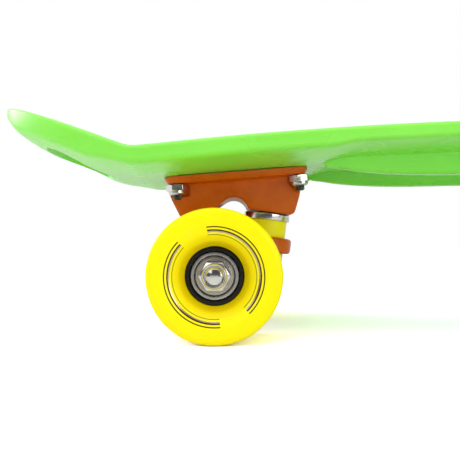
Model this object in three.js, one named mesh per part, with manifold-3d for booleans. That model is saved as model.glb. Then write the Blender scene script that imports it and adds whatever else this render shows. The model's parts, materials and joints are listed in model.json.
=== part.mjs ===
// Cruiser skateboard: a moulded plastic deck on two kingpin trucks with four cored wheels.
// Millimetres, +Z up, +X towards the nose. The road is z = 0 and the tail kicks up at -X.
import * as THREE from "three";
import { ConvexGeometry } from "three/addons/geometries/ConvexGeometry.js";
import { mergeVertices } from "three/addons/utils/BufferGeometryUtils.js";
import Module from "manifold-3d";

const wasm = await Module();
wasm.setup();

// Deck, seen from above
const deckLength = 560;
const deckWidth = 150;
const wheelbaseLength = 360;
const wheelbaseCentre = 12;
const waistTaper = 8;
const tailRoundLength = 66;
const noseRoundLength = 86;
const tailRoundPower = 2;
const noseRoundPower = 2;

// Deck, seen from the side
const deckMidHeight = 98.5;
const camberDrop = 7.45;
const kickFromAxle = 38.2;
const kickDegrees = 21;
const kickBlend = 2.5;
const noseLift = 12;
const noseRun = 66;

// Deck, cut across: how far the underside lies below the top
const shoulder = 1.5;
const tipDepth = 7.5;
const tailDepth = 14.6;
const truckDepth = 10.4;
const skinDepth = 8.6;
const noseDepth = 9.4;
const tipRun = 16;
const kickRun = 24;
const truckPadRun = 12;
const edgeRoll = 2.5;
const bilgeInset = 12;
const floorInset = 28;

// Deck ribs, truck pads and tail pocket
const ribOffset = 31;
const ribWidth = 12.4;
const ribDraft = 1.6;
const ribDrop = 10.2;
const ribTaper = 70;
const ribFromAxle = 53.3;
const ribRound = 2;
const padThickness = 11;
const padMargin = 4;
const padCorner = 9;
const pocketLength = 35;
const pocketWidth = 84;
const pocketFromTip = 43;
const pocketFloor = 8;

// Truck baseplate
const baseOverhang = 5.1;
const baseShift = 0.7;
const baseSideMargin = 6.85;
const baseCorner = 7;
const baseBevel = 1.4;
const flangeThickness = 3.5;
const padFromAxle = 10.5;
const blockWidth = 35;
const blockDraft = 5;
const legReach = 36.3;
const legKnee = 8.4;
const legFoot = 29;
const legDrop = 25.8;
const legTip = 4;
const archCentre = 3;
const archHeight = 11.9;
const archRadius = 7.4;
const archSlopeDegrees = 31.5;
const blockEnd = 33.4;
const blockFoot = 28.6;
const blockCorner = 3;
const nutPocketDrop = 9.4;
const nutPocketRoom = 0.6;
const nutPocketSideRoom = 2.4;

// Mounting bolts and lock nuts
const boltSpacingX = 63.5;
const boltSpacingY = 41.3;
const boltDiameter = 4.8;
const boltHeadDiameter = 9.2;
const boltHeadHeight = 2.7;
const boltHeadSink = 0.7;
const boltReach = 11.6;
const boltSocket = 3.2;
const boltSocketDepth = 1.6;
const lockNutAcross = 9.5;
const lockNutHex = 3.4;
const lockNutCollar = 2;
const lockNutBevel = 0.9;

// Kingpin, washers and bushings
const kingpinLeanDegrees = 11.2;
const ringFromPad = 11.83;
const ringBelowPad = 37.72;
const kingpinDiameter = 9.5;
const kingpinTail = 26;
const kingpinHeadWidth = 15;
const kingpinHeadHeight = 6;
const kingpinHeadTop = 34.4;
const kingpinHeadGap = 0.5;
const kingpinPoint = 1;
const kingpinNutAcross = 14.3;
const kingpinNutHeight = 6.8;
const washerDiameter = 25;
const washerThickness = 1.4;
const washerLip = 1.6;
const washerBevel = 1.2;
const blockAboveRing = 17;
const bushingDiameter = 22.5;
const bushingWaist = 0.9;
const lowerBushingHeight = 9.4;
const lowerWasherDiameter = 22;
const lowerWasherThickness = 1.5;

// Hanger, pivot and axle
const ringRadius = 15.3;
const ringThickness = 8.5;
const ringEdge = 1.6;
const ringBore = 12.8;
const bushingSeat = 1;
const hangerLength = 76;
const beamRadius = 10.4;
const beamEndRadius = 8.6;
const beamShoulder = 27;
const beamBevel = 1;
const wingThickness = 11;
const wingHalfAtBeam = 26;
const wingHalfAtRing = 11.5;
const pivotBack = 20.2;
const pivotDrop = 14.9;
const pivotRadius = 4.5;
const noseRootRadius = 6.5;
const noseNeck = 15;
const noseNeckStart = 9.6;
const webHalf = 6;
const neckShare = 0.6;
const cupWall = 2.2;
const cupDepth = 6.4;
const cupMouth = 3.2;
const axleDiameter = 8;
const axleReach = 71;
const axlePoint = 0.8;

// Wheel and bearings
const wheelDiameter = 60;
const wheelWidth = 45;
const tyreLip = 7.2;
const tyreFace = 19;
const tyreDish = 1.8;
const coreRadius = 13;
const coreFlange = 17;
const coreFlangeWidth = 14;
const coreLipWidth = 1.5;
const bearingDiameter = 22;
const bearingBore = 8;
const bearingWidth = 7;
const bearingOuterWall = 1.5;
const bearingInnerWall = 1.7;
const shieldSink = 0.4;
const spacerLength = 10;
const spacerWall = 1;
const speedRing = 1;
const axleNutAcross = 12.7;
const axleNutHeight = 6;
const axleNutBevel = 1.1;

// Fits and cutting
const seatGap = 0.3;
const pressGap = 0.15;
const holeClearance = 0.4;
const overrun = 3;
const weld = 0.0005;

// Numbers of facets and stations
const tyreSides = 18;
const coreSides = 12;
const bearingSides = 12;
const pinSides = 8;
const ringSides = 16;
const deckStations = 28;
const hexSides = 6;

// Places worked out from the sizes above
const halfLength = deckLength / 2;
const baseLength = boltSpacingX + 2 * baseOverhang;
const baseWidth = boltSpacingY + 2 * baseSideMargin;
const nutPocketRadius = baseOverhang - baseShift + lockNutAcross / 2 + nutPocketRoom;
const nutPocketInset = (boltSpacingY - lockNutAcross) / 2 - nutPocketSideRoom;
const halfWheelbase = wheelbaseLength / 2;
const rearAxleX = wheelbaseCentre - halfWheelbase;
const wheelRadius = wheelDiameter / 2;
const padCentreX = rearAxleX + padFromAxle;
const kickX = rearAxleX - kickFromAxle;
const camberSlope = (x) => (-2 * camberDrop * (x - wheelbaseCentre)) / halfWheelbase ** 2;
const padTilt = Math.atan(camberSlope(padCentreX));
const kickAngle = THREE.MathUtils.degToRad(kickDegrees);
const lean = THREE.MathUtils.degToRad(kingpinLeanDegrees);
const wheelY = hangerLength / 2 + speedRing + bearingWidth + spacerLength / 2;

// Solids

// A closed geometry as a solid, its shared corners merged and its faces turned outwards.
function solid(geometry) {
  const bare = geometry.index ? geometry.toNonIndexed() : geometry.clone();
  bare.deleteAttribute("normal");
  bare.deleteAttribute("uv");
  const merged = mergeVertices(bare, weld);
  const corners = merged.index.array;
  const places = merged.attributes.position.array;
  const kept = [];
  for (let i = 0; i < corners.length; i += 3) {
    const [a, b, c] = [corners[i], corners[i + 1], corners[i + 2]];
    if (a !== b && b !== c && c !== a) kept.push(a, b, c);
  }
  if (signedVolume(places, kept) < 0) kept.reverse();
  const mesh = new wasm.Mesh({
    numProp: 3,
    vertProperties: places,
    triVerts: new Uint32Array(kept),
  });
  return new wasm.Manifold(mesh);
}

function signedVolume(places, corners) {
  const at = (i) => new THREE.Vector3().fromArray(places, 3 * i);
  let sum = 0;
  for (let i = 0; i < corners.length; i += 3) {
    sum += at(corners[i]).dot(at(corners[i + 1]).cross(at(corners[i + 2])));
  }
  return sum;
}

function geometryOf(made) {
  const mesh = made.getMesh();
  const geometry = new THREE.BufferGeometry();
  geometry.setAttribute("position", new THREE.BufferAttribute(mesh.vertProperties, 3));
  geometry.setIndex(new THREE.BufferAttribute(mesh.triVerts, 1));
  geometry.computeVertexNormals();
  return geometry;
}

// A copy of a solid, moved by a matrix.
function moved(made, matrix) {
  return solid(geometryOf(made).applyMatrix4(matrix));
}

// A profile of [radius, place] pairs turned about Y, or about Z when it stands up.
function revolve(profile, sides) {
  const points = profile.map(([r, y]) => new THREE.Vector2(r, y));
  if (profile[0][0] !== 0) points.push(points[0].clone());
  const turned = new THREE.LatheGeometry(points, sides);
  turned.rotateY(Math.PI / sides);
  return turned;
}

const upright = (geometry) => geometry.rotateX(Math.PI / 2);

// A skin through rings of equal count, closed by strips at both ends.
function loft(rings) {
  const count = rings[0].length;
  const places = rings.flat(2);
  const index = [];
  const face = (a, b, c, d) => index.push(a, b, c, a, c, d);
  for (let r = 0; r + 1 < rings.length; r += 1) {
    for (let i = 0; i < count; i += 1) {
      const j = (i + 1) % count;
      face(r * count + i, r * count + j, (r + 1) * count + j, (r + 1) * count + i);
    }
  }
  const last = (rings.length - 1) * count;
  for (let i = 0; i < count / 2; i += 1) {
    const near = (count - i) % count;
    const far = count - i - 1;
    face(near, far, i + 1, i);
    face(last + i, last + i + 1, last + far, last + near);
  }
  const geometry = new THREE.BufferGeometry();
  geometry.setAttribute("position", new THREE.Float32BufferAttribute(places, 3));
  geometry.setIndex(index);
  return geometry;
}

// An outline in X and Z, drawn out along Y to both sides of the middle plane.
function slab(outline, halfWidth) {
  const options = { depth: 2 * halfWidth, bevelEnabled: false, curveSegments: 5 };
  const drawn = new THREE.ExtrudeGeometry(outline, options);
  return drawn.rotateX(Math.PI / 2).translate(0, halfWidth, 0);
}

function box(low, high) {
  const size = high.map((value, i) => value - low[i]);
  const middle = high.map((value, i) => (value + low[i]) / 2);
  return new THREE.BoxGeometry(...size).translate(...middle);
}

// A hexagon of a given width across its flats, from one height to another.
function hexPrism(across, from, to) {
  const corner = across / 2 / Math.cos(Math.PI / hexSides);
  const profile = [[0, from], [corner, from], [corner, to], [0, to]];
  return solid(upright(revolve(profile, hexSides)));
}

// Deck

function blendUp(u, softness) {
  return (u + Math.hypot(u, softness)) / 2;
}

// Height of the top face: a shallow arch, a kicked tail and a slightly lifted nose.
function deckTop(x) {
  const kept = Math.max(x, kickX);
  const arch = deckMidHeight - camberDrop * ((kept - wheelbaseCentre) / halfWheelbase) ** 2;
  const straight = (x - kept) * camberSlope(kickX);
  const rise = Math.tan(kickAngle) + camberSlope(kickX);
  const kick = rise * blendUp(kickX - x, kickBlend);
  const lift = Math.max(0, (x - halfLength + noseRun) / noseRun);
  return arch + straight + kick + noseLift * lift ** 2;
}

// Depth of the underside below the top, along the middle of the board.
function deckDepth(x) {
  const padHalf = baseLength / 2 + padMargin;
  const frontPadX = 2 * wheelbaseCentre - padCentreX;
  const keys = [
    [-halfLength, tipDepth],
    [tipRun - halfLength, tailDepth],
    [kickX - kickRun, tailDepth],
    [kickX, truckDepth],
    [padCentreX + padHalf, truckDepth],
    [padCentreX + padHalf + truckPadRun, skinDepth],
    [frontPadX - padHalf - truckPadRun, skinDepth],
    [frontPadX - padHalf, truckDepth],
    [frontPadX + padHalf, truckDepth],
    [halfLength - tipRun, noseDepth],
    [halfLength, tipDepth],
  ];
  const after = keys.findIndex(([place]) => place >= x);
  if (after < 1) return after === 0 ? keys[0][1] : tipDepth;
  const [x0, d0] = keys[after - 1];
  const [x1, d1] = keys[after];
  const u = (x - x0) / (x1 - x0);
  return d0 + (d1 - d0) * u * u * (3 - 2 * u);
}

// Half the width of the board at a place along it, before any inset.
function deckHalfWidth(x) {
  const side = deckWidth / 2 - waistTaper * ((x - wheelbaseCentre) / (wheelbaseCentre - kickX)) ** 2;
  const tail = Math.max(0, (tailRoundLength - halfLength - x) / tailRoundLength);
  const nose = Math.max(0, (x - halfLength + noseRoundLength) / noseRoundLength);
  const roundTail = Math.max(0, 1 - tail ** tailRoundPower) ** (1 / tailRoundPower);
  const roundNose = Math.max(0, 1 - nose ** noseRoundPower) ** (1 / noseRoundPower);
  return side * roundTail * roundNose;
}

// The board's outline, from the tail round by +Y to the nose and back by -Y.
function deckOutline() {
  const points = [];
  for (let i = 0; i < 2 * deckStations; i += 1) {
    const turn = (Math.PI * i) / deckStations;
    const x = -halfLength * Math.cos(turn);
    points.push(new THREE.Vector2(x, Math.sign(Math.sin(turn)) * deckHalfWidth(x)));
  }
  points[0].y = 0;
  points[deckStations].y = 0;
  return points;
}

function inset(outline, distance) {
  const count = outline.length;
  return outline.map((point, i) => {
    const along = outline[(i + 1) % count].clone().sub(outline[(i + count - 1) % count]);
    along.normalize();
    return new THREE.Vector2(point.x + along.y * distance, point.y - along.x * distance);
  });
}

// The board's skin: its top, a small shoulder, an upright edge and a hull-like underside.
function deckHull() {
  const bandShares = [0, 0.62, 0.76, 0.88, 1];
  const bandInsets = [0, 0, edgeRoll, bilgeInset, floorInset];
  const outline = deckOutline();
  const ring = (distance, depthOf) =>
    inset(outline, distance).map(({ x, y }) => [x, y, deckTop(x) - depthOf(x)]);
  const rings = [ring(shoulder, () => 0), ring(0, () => shoulder)];
  bandShares.slice(1).forEach((share, i) => {
    rings.push(ring(bandInsets[i + 1], (x) => share * deckDepth(x)));
  });
  return solid(loft(rings));
}

// One stiffening rib, pointed at both ends like a canoe.
function deckRib(side) {
  const from = rearAxleX + ribFromAxle;
  const to = 2 * wheelbaseCentre - from;
  const stationShares = [0.02, 0.08, 0.2, 0.4, 0.7, 1];
  const places = stationShares.map((share) => from + share * ribTaper);
  places.push(wheelbaseCentre);
  places.push(...stationShares.map((share) => to - share * ribTaper).reverse());
  const rings = places.map((x) => {
    const u = Math.min(1, (x - from) / ribTaper, (to - x) / ribTaper);
    const law = Math.sqrt(1 - (1 - u) ** 2);
    const low = deckTop(x) - skinDepth - ribDrop * law;
    const high = deckTop(x) - skinDepth / 2;
    const half = (ribWidth / 2) * law;
    const corner = ribRound * law;
    const flank = [
      [half + ribDraft * law, high],
      [half, low + corner],
      [half - corner, low],
    ];
    const across = [...flank, ...flank.map(([y, z]) => [-y, z]).reverse()];
    return across.map(([y, z]) => [x, side * ribOffset + y, z]);
  });
  return solid(loft(rings));
}

function roundedRectangle(length, width, corner) {
  const shape = new THREE.Shape();
  const [x, y] = [length / 2, width / 2];
  shape.moveTo(corner - x, -y);
  shape.lineTo(x - corner, -y);
  shape.absarc(x - corner, corner - y, corner, -Math.PI / 2, 0, false);
  shape.absarc(x - corner, y - corner, corner, 0, Math.PI / 2, false);
  shape.absarc(corner - x, y - corner, corner, Math.PI / 2, Math.PI, false);
  shape.absarc(corner - x, corner - y, corner, Math.PI, 1.5 * Math.PI, false);
  return shape;
}

// Where a truck stands: x along its pad, z square to the pad, origin in the pad's middle.
function truckPlace(turned) {
  const height = deckTop(padCentreX) - padThickness * Math.cos(padTilt);
  const place = new THREE.Matrix4().makeTranslation(padCentreX, 0, height);
  place.multiply(new THREE.Matrix4().makeRotationY(-padTilt));
  if (!turned) return place;
  const about = new THREE.Matrix4().makeTranslation(2 * wheelbaseCentre, 0, 0);
  about.multiply(new THREE.Matrix4().makeRotationZ(Math.PI));
  return about.multiply(place);
}

function truckPad() {
  const shape = roundedRectangle(baseLength + 2 * padMargin, baseWidth + 2 * padMargin, padCorner);
  const depth = padThickness - truckDepth / 2;
  return solid(new THREE.ExtrudeGeometry(shape, { depth, bevelEnabled: false, curveSegments: 4 }));
}

// The hole that a countersunk bolt needs, cut from below the pad to above the board.
function boltHole() {
  const shank = boltDiameter / 2 + holeClearance;
  const head = boltHeadDiameter / 2 + holeClearance;
  const top = padThickness - boltHeadSink + seatGap;
  const neck = top - boltHeadHeight - seatGap;
  const profile = [[0, -overrun], [shank, -overrun], [shank, neck], [head, top]];
  profile.push([head, padThickness + overrun], [0, padThickness + overrun]);
  return solid(upright(revolve(profile, pinSides)));
}

// The four bolts, named by the sides of the board, so that a turned truck swaps right and left.
function boltPlaces(turned) {
  const x = boltSpacingX / 2;
  const y = (turned ? -1 : 1) * (boltSpacingY / 2);
  return { outer_right: [-x, -y], outer_left: [-x, y], inner_right: [x, -y], inner_left: [x, y] };
}

// The shallow oval pocket under the tail.
function tailPocket() {
  const shape = new THREE.Shape();
  shape.absellipse(0, 0, pocketLength / 2, pocketWidth / 2, 0, 2 * Math.PI);
  const options = { depth: tailDepth, bevelEnabled: false, curveSegments: 8 };
  const cut = new THREE.ExtrudeGeometry(shape, options);
  const x = pocketFromTip - halfLength;
  cut.translate(0, 0, -tailDepth - pocketFloor);
  return solid(cut.rotateY(kickAngle).translate(x, 0, deckTop(x)));
}

function makeDeck() {
  let made = deckHull();
  for (const side of [-1, 1]) made = made.add(deckRib(side));
  for (const turned of [false, true]) {
    const place = truckPlace(turned);
    made = made.add(moved(truckPad(), place));
    for (const [x, y] of Object.values(boltPlaces(turned))) {
      const hole = moved(boltHole(), new THREE.Matrix4().makeTranslation(x, y, 0));
      made = made.subtract(moved(hole, place));
    }
  }
  return made.subtract(tailPocket());
}

// Baseplate, in the truck's own place

const down = (distance, angle) => [
  distance * Math.sin(angle),
  distance * Math.cos(angle),
];

// The side view of the two feet below the flange: pivot leg, arch and kingpin block.
function baseOutline() {
  const [dx, dz] = down(blockAboveRing, lean);
  const faceX = ringFromPad + dx;
  const faceZ = dz - ringBelowPad;
  const face = (x) => faceZ - (x - faceX) * Math.tan(lean);
  const slope = THREE.MathUtils.degToRad(archSlopeDegrees);
  const archLow = -archHeight - archRadius;
  const leftX = -archCentre - archRadius * Math.sin(slope);
  const leftZ = archLow + archRadius * Math.cos(slope);
  const toeX = legTip - legFoot;
  const toeZ = leftZ - (leftX - toeX) * Math.tan(slope);
  const rightX = archRadius - archCentre;
  const shape = new THREE.Shape();
  shape.moveTo(-legReach, 0);
  shape.lineTo(-legReach, -legKnee);
  shape.lineTo(-legFoot - legTip / 2, legTip - legDrop);
  shape.quadraticCurveTo(-legFoot, -legDrop, toeX, toeZ);
  shape.lineTo(leftX, leftZ);
  const archEnd = blockCorner / archRadius / 2;
  shape.absarc(-archCentre, archLow, archRadius, Math.PI / 2 + slope, archEnd, true);
  shape.lineTo(rightX + blockCorner / 2, face(rightX));
  shape.lineTo(blockFoot - blockCorner, face(blockFoot - blockCorner));
  const foot = face(blockFoot);
  shape.quadraticCurveTo(blockFoot, foot, blockFoot + blockCorner / 3, foot + blockCorner);
  shape.lineTo(blockEnd, -nutPocketDrop);
  shape.lineTo(blockEnd, 0);
  return shape;
}

// The front view that gives the feet their draft.
function draftOutline() {
  const top = blockWidth / 2;
  const foot = top - blockDraft;
  const low = -legDrop - overrun;
  const shape = new THREE.Shape();
  shape.moveTo(-top, overrun);
  shape.lineTo(-top, -flangeThickness);
  shape.lineTo(-foot, low);
  shape.lineTo(foot, low);
  shape.lineTo(top, -flangeThickness);
  shape.lineTo(top, overrun);
  return shape;
}

function flange() {
  const ring = (margin, z) => {
    const [length, width] = [baseLength - 2 * margin, baseWidth - 2 * margin];
    const shape = roundedRectangle(length, width, baseCorner - margin);
    return shape.getPoints(3).slice(0, -1).map(({ x, y }) => [x, y, z]);
  };
  const rings = [ring(baseBevel, -flangeThickness), ring(0, baseBevel - flangeThickness), ring(0, 0)];
  return solid(hullOf(rings).translate(-baseShift, 0, 0));
}

// A skin through level rings, closed by fans.
function hullOf(rings) {
  const geometry = loft(rings);
  const count = rings[0].length;
  const index = [];
  const sides = geometry.index.array.slice(0, 6 * count * (rings.length - 1));
  index.push(...sides);
  const last = (rings.length - 1) * count;
  for (let i = 1; i + 1 < count; i += 1) {
    index.push(0, i + 1, i, last, last + i, last + i + 1);
  }
  geometry.setIndex(index);
  return geometry;
}

// Room for the four lock nuts at the corners of the feet.
function nutPockets() {
  const cuts = [];
  for (const side of [-1, 1]) {
    const from = side * nutPocketInset;
    const to = side * (baseWidth / 2 + overrun);
    const [low, high] = [Math.min(from, to), Math.max(from, to)];
    const inner = lockNutAcross / 2 + holeClearance * 3 - boltSpacingX / 2;
    cuts.push(solid(box([-baseLength, low, -nutPocketDrop], [inner, high, -flangeThickness])));
    const drum = revolve([[0, low], [nutPocketRadius, low], [nutPocketRadius, high], [0, high]], ringSides);
    cuts.push(solid(drum.translate(baseLength / 2 - baseShift, 0, -flangeThickness)));
  }
  return cuts;
}

function matrixAlong(x, z, tilt) {
  const place = new THREE.Matrix4().makeTranslation(x, 0, z);
  return place.multiply(new THREE.Matrix4().makeRotationY(tilt));
}

// The kingpin's own place: z up its shank, origin in the middle of the hanger's ring.
const kingpinPlace = () => matrixAlong(ringFromPad, -ringBelowPad, lean);

// The steering axis runs from the ring's middle up to the pivot ball.
const pivotRise = ringBelowPad - pivotDrop;
const pivotRun = ringFromPad + pivotBack;
const pivotReach = Math.hypot(pivotRun, pivotRise);
const pivotAngle = Math.atan2(-pivotRun, pivotRise);
const pivotPlace = () => matrixAlong(-pivotBack, -pivotDrop, pivotAngle);

const cupRadius = pivotRadius + seatGap + cupWall;

function makeBaseplate() {
  const drafted = solid(slab(draftOutline(), baseLength).rotateZ(Math.PI / 2));
  let feet = solid(slab(baseOutline(), blockWidth / 2)).intersect(drafted);
  for (const cut of nutPockets()) feet = feet.subtract(cut);
  let made = feet.add(flange());
  const shank = kingpinDiameter / 2 + pressGap;
  const head = kingpinHeadWidth / 2 + kingpinHeadGap;
  const seat = kingpinHeadTop - kingpinHeadHeight - seatGap;
  const high = ringBelowPad + overrun * 2;
  const pin = [[0, 0], [shank, 0], [shank, seat], [head, seat], [head, high], [0, high]];
  made = made.subtract(moved(solid(upright(revolve(pin, bearingSides))), kingpinPlace()));
  const cup = cupRadius + pressGap;
  const [near, far] = [-pivotReach / 2, cupDepth + seatGap];
  const socket = [[0, near], [cup, near], [cup, far], [0, far]];
  made = made.subtract(moved(solid(upright(revolve(socket, bearingSides))), pivotPlace()));
  const bolt = boltDiameter / 2 + holeClearance;
  const drill = [[0, -legDrop], [bolt, -legDrop], [bolt, overrun], [0, overrun]];
  for (const [x, y] of Object.values(boltPlaces())) {
    const hole = solid(upright(revolve(drill, pinSides)).translate(x, y, 0));
    made = made.subtract(hole);
  }
  return made;
}

// Fasteners

function makeBolt() {
  const shank = boltDiameter / 2;
  const top = padThickness - boltHeadSink;
  const neck = top - boltHeadHeight;
  const profile = [[0, -boltReach], [shank, -boltReach], [shank, neck]];
  profile.push([boltHeadDiameter / 2, top], [0, top]);
  const made = solid(upright(revolve(profile, pinSides)));
  return made.subtract(hexPrism(boltSocket, top - boltSocketDepth, top + overrun));
}

// A lock nut: a hexagon with a bevelled seat side and a domed collar below it.
function makeLockNut() {
  const top = -flangeThickness - seatGap;
  const seam = top - lockNutHex;
  const end = seam - lockNutCollar;
  const corner = lockNutAcross / 2 / Math.cos(Math.PI / hexSides);
  const flat = lockNutAcross / 2;
  const bore = boltDiameter / 2 + pressGap;
  const cone = [[0, seam], [flat, seam], [corner, seam + lockNutBevel], [corner, top], [0, top]];
  let made = hexPrism(lockNutAcross, seam, top).intersect(solid(upright(revolve(cone, pinSides))));
  const collar = [[0, end], [flat - lockNutBevel * 2, end], [flat - lockNutBevel / 2, end + lockNutBevel]];
  collar.push([flat - lockNutBevel / 2, seam + lockNutBevel], [0, seam + lockNutBevel]);
  made = made.add(solid(upright(revolve(collar, pinSides))));
  const hole = [[0, end - overrun], [bore, end - overrun], [bore, top + overrun], [0, top + overrun]];
  return made.subtract(solid(upright(revolve(hole, pinSides))));
}

// Kingpin group, each piece along the kingpin with the ring's middle at zero

const ringHalf = ringThickness / 2;
const seatHeight = ringHalf - bushingSeat + seatGap;
const washerTop = blockAboveRing - seatGap;
const washerUnder = washerTop - washerThickness;
const upperBushingTop = washerUnder - seatGap;
const lowerBushingEnd = -seatHeight - lowerBushingHeight;
const lowerWasherTop = lowerBushingEnd - seatGap;
const pinBore = kingpinDiameter / 2 + pressGap;

function makeKingpin() {
  const r = kingpinDiameter / 2;
  const neck = kingpinHeadTop - kingpinHeadHeight;
  const profile = [[0, -kingpinTail], [r - kingpinPoint, -kingpinTail], [r, kingpinPoint - kingpinTail]];
  profile.push([r, neck], [kingpinHeadWidth / 2, neck], [kingpinHeadWidth / 2, kingpinHeadTop]);
  profile.push([0, kingpinHeadTop]);
  return solid(upright(revolve(profile, bearingSides)));
}

function makeUpperWasher() {
  const r = washerDiameter / 2;
  const lipEnd = washerUnder - washerLip;
  const lipInner = bushingDiameter / 2 + seatGap;
  const profile = [[pinBore, washerUnder], [lipInner, washerUnder], [lipInner, lipEnd], [r, lipEnd]];
  profile.push([r, washerTop - washerBevel], [r - washerBevel, washerTop], [pinBore, washerTop]);
  return solid(upright(revolve(profile, ringSides)));
}

function makeBushing(from, to) {
  const r = bushingDiameter / 2;
  const edge = bushingWaist;
  const profile = [[pinBore, from], [r - edge, from], [r, from + edge], [r, to - edge]];
  profile.push([r - edge, to], [pinBore, to]);
  return solid(upright(revolve(profile, coreSides)));
}

function makeKingpinNut() {
  const seam = lowerWasherTop - lowerWasherThickness;
  const end = seam - kingpinNutHeight;
  const washer = [[0, seam], [lowerWasherDiameter / 2, seam], [lowerWasherDiameter / 2, lowerWasherTop]];
  washer.push([0, lowerWasherTop]);
  const flat = kingpinNutAcross / 2;
  const corner = flat / Math.cos(Math.PI / hexSides);
  const cone = [[0, end], [flat, end], [corner, end + kingpinPoint], [corner, seam], [0, seam]];
  const hex = hexPrism(kingpinNutAcross, end, seam + kingpinPoint);
  const turned = solid(upright(revolve(cone, pinSides)));
  const hole = [[0, end - overrun], [pinBore, end - overrun]];
  hole.push([pinBore, lowerWasherTop + overrun], [0, lowerWasherTop + overrun]);
  const bored = solid(upright(revolve(washer, bearingSides))).add(hex.intersect(turned));
  return bored.subtract(solid(upright(revolve(hole, bearingSides))));
}

// The pivot cup, with its mouth towards the ring
function makePivotCup() {
  const hollow = pivotRadius + seatGap;
  const profile = [[0, cupDepth], [cupRadius, cupDepth], [cupRadius, -cupMouth], [hollow, -cupMouth]];
  for (const turn of [0, 1, 2, 3]) {
    const angle = (turn * Math.PI) / 6;
    profile.push([turn === 3 ? 0 : hollow * Math.cos(angle), hollow * Math.sin(angle)]);
  }
  return solid(upright(revolve(profile, bearingSides)));
}

// Hanger, in the truck's own place

// The axle's middle, seen from the pad.
function axlePoint2d() {
  const drop = deckTop(padCentreX) - padThickness * Math.cos(padTilt) - wheelRadius;
  const [c, s] = [Math.cos(padTilt), Math.sin(padTilt)];
  return new THREE.Vector2(-padFromAxle * c - drop * s, padFromAxle * s - drop * c);
}

// Points of a short round bar that lies across the truck, for the hanger's cast body.
function barPoints(x, z, radius, halfWidth) {
  const points = [];
  for (let i = 0; i < pinSides; i += 1) {
    const turn = (2 * Math.PI * i) / pinSides;
    for (const y of [-halfWidth, halfWidth]) {
      points.push(new THREE.Vector3(x + radius * Math.cos(turn), y, z + radius * Math.sin(turn)));
    }
  }
  return points;
}

function hangerNose() {
  const neck = pivotRadius - pressGap * 2;
  const profile = [[0, pivotRadius]];
  for (const share of [1, 2, 3, 4]) {
    const turn = (share * Math.PI) / 7;
    profile.push([pivotRadius * Math.sin(turn), pivotRadius * Math.cos(turn)]);
  }
  profile.push([neck, -noseNeckStart], [noseRootRadius, -noseNeck]);
  profile.push([noseRootRadius, ringRadius - pivotReach], [0, ringRadius - pivotReach]);
  return moved(solid(upright(revolve(profile, bearingSides))), pivotPlace());
}

function hangerBody() {
  const axle = axlePoint2d();
  const ringPlace = kingpinPlace();
  const left = new THREE.Vector3(-ringRadius * neckShare, 0, 0).applyMatrix4(ringPlace);
  const root = new THREE.Vector3(0, 0, -noseNeck - noseRootRadius / 2).applyMatrix4(pivotPlace());
  const web = [
    ...barPoints(left.x, left.z, ringHalf, webHalf),
    ...barPoints(axle.x, axle.y, beamRadius - beamBevel, webHalf),
    ...barPoints(root.x, root.z, noseRootRadius - beamBevel, webHalf / 2),
  ];
  const wing = [
    ...barPoints(left.x, left.z, ringHalf - ringEdge / 2, wingHalfAtRing),
    ...barPoints(axle.x, axle.y, wingThickness / 2, wingHalfAtBeam),
  ];
  return solid(new ConvexGeometry(web)).add(solid(new ConvexGeometry(wing)));
}

function hangerRing() {
  const r = ringRadius;
  const profile = [[0, -ringHalf], [r - ringEdge, -ringHalf], [r, ringEdge - ringHalf]];
  profile.push([r, ringHalf - ringEdge], [r - ringEdge, ringHalf], [0, ringHalf]);
  return moved(solid(upright(revolve(profile, ringSides))), kingpinPlace());
}

function hangerBeam() {
  const half = hangerLength / 2;
  const side = [[beamRadius, 0], [beamRadius, webHalf], [beamEndRadius, beamShoulder]];
  side.push([beamEndRadius, half - beamBevel], [beamEndRadius - beamBevel, half]);
  const mirrored = side.slice(1).map(([r, y]) => [r, -y]).reverse();
  const profile = [[0, -half], ...mirrored, ...side.slice(1), [0, half]];
  const axle = axlePoint2d();
  return solid(revolve(profile, ringSides).translate(axle.x, 0, axle.y));
}

// What is cut from the ring: the kingpin's bore and the two bushing seats.
function ringCuts() {
  const seat = bushingDiameter / 2 + seatGap * 2;
  const inner = ringHalf - bushingSeat;
  const bore = ringBore / 2;
  const far = blockAboveRing;
  const profile = [[0, -far], [seat, -far], [seat, -inner], [bore, -inner], [bore, inner], [seat, inner]];
  profile.push([seat, far], [0, far]);
  return moved(solid(upright(revolve(profile, ringSides))), kingpinPlace());
}

function makeHanger() {
  const axle = axlePoint2d();
  const bore = axleDiameter / 2 + pressGap;
  const half = hangerLength / 2 + overrun;
  const drill = revolve([[0, -half], [bore, -half], [bore, half], [0, half]], bearingSides);
  let made = hangerRing().add(hangerNose()).add(hangerBody()).add(hangerBeam());
  made = made.subtract(ringCuts());
  return made.subtract(solid(drill.translate(axle.x, 0, axle.y)));
}

// Wheels, each about its own middle with the axle along Y

function makeAxle() {
  const r = axleDiameter / 2;
  const tip = r - axlePoint;
  const profile = [[0, -axleReach], [tip, -axleReach], [r, axlePoint - axleReach]];
  profile.push([r, axleReach - axlePoint], [tip, axleReach], [0, axleReach]);
  return solid(revolve(profile, bearingSides));
}

const bothSides = (half) => [...half, ...half.map(([r, y]) => [r, -y]).reverse()];
const hubHalf = spacerLength / 2 + bearingWidth;
const coreHalf = hubHalf + coreLipWidth;

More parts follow.
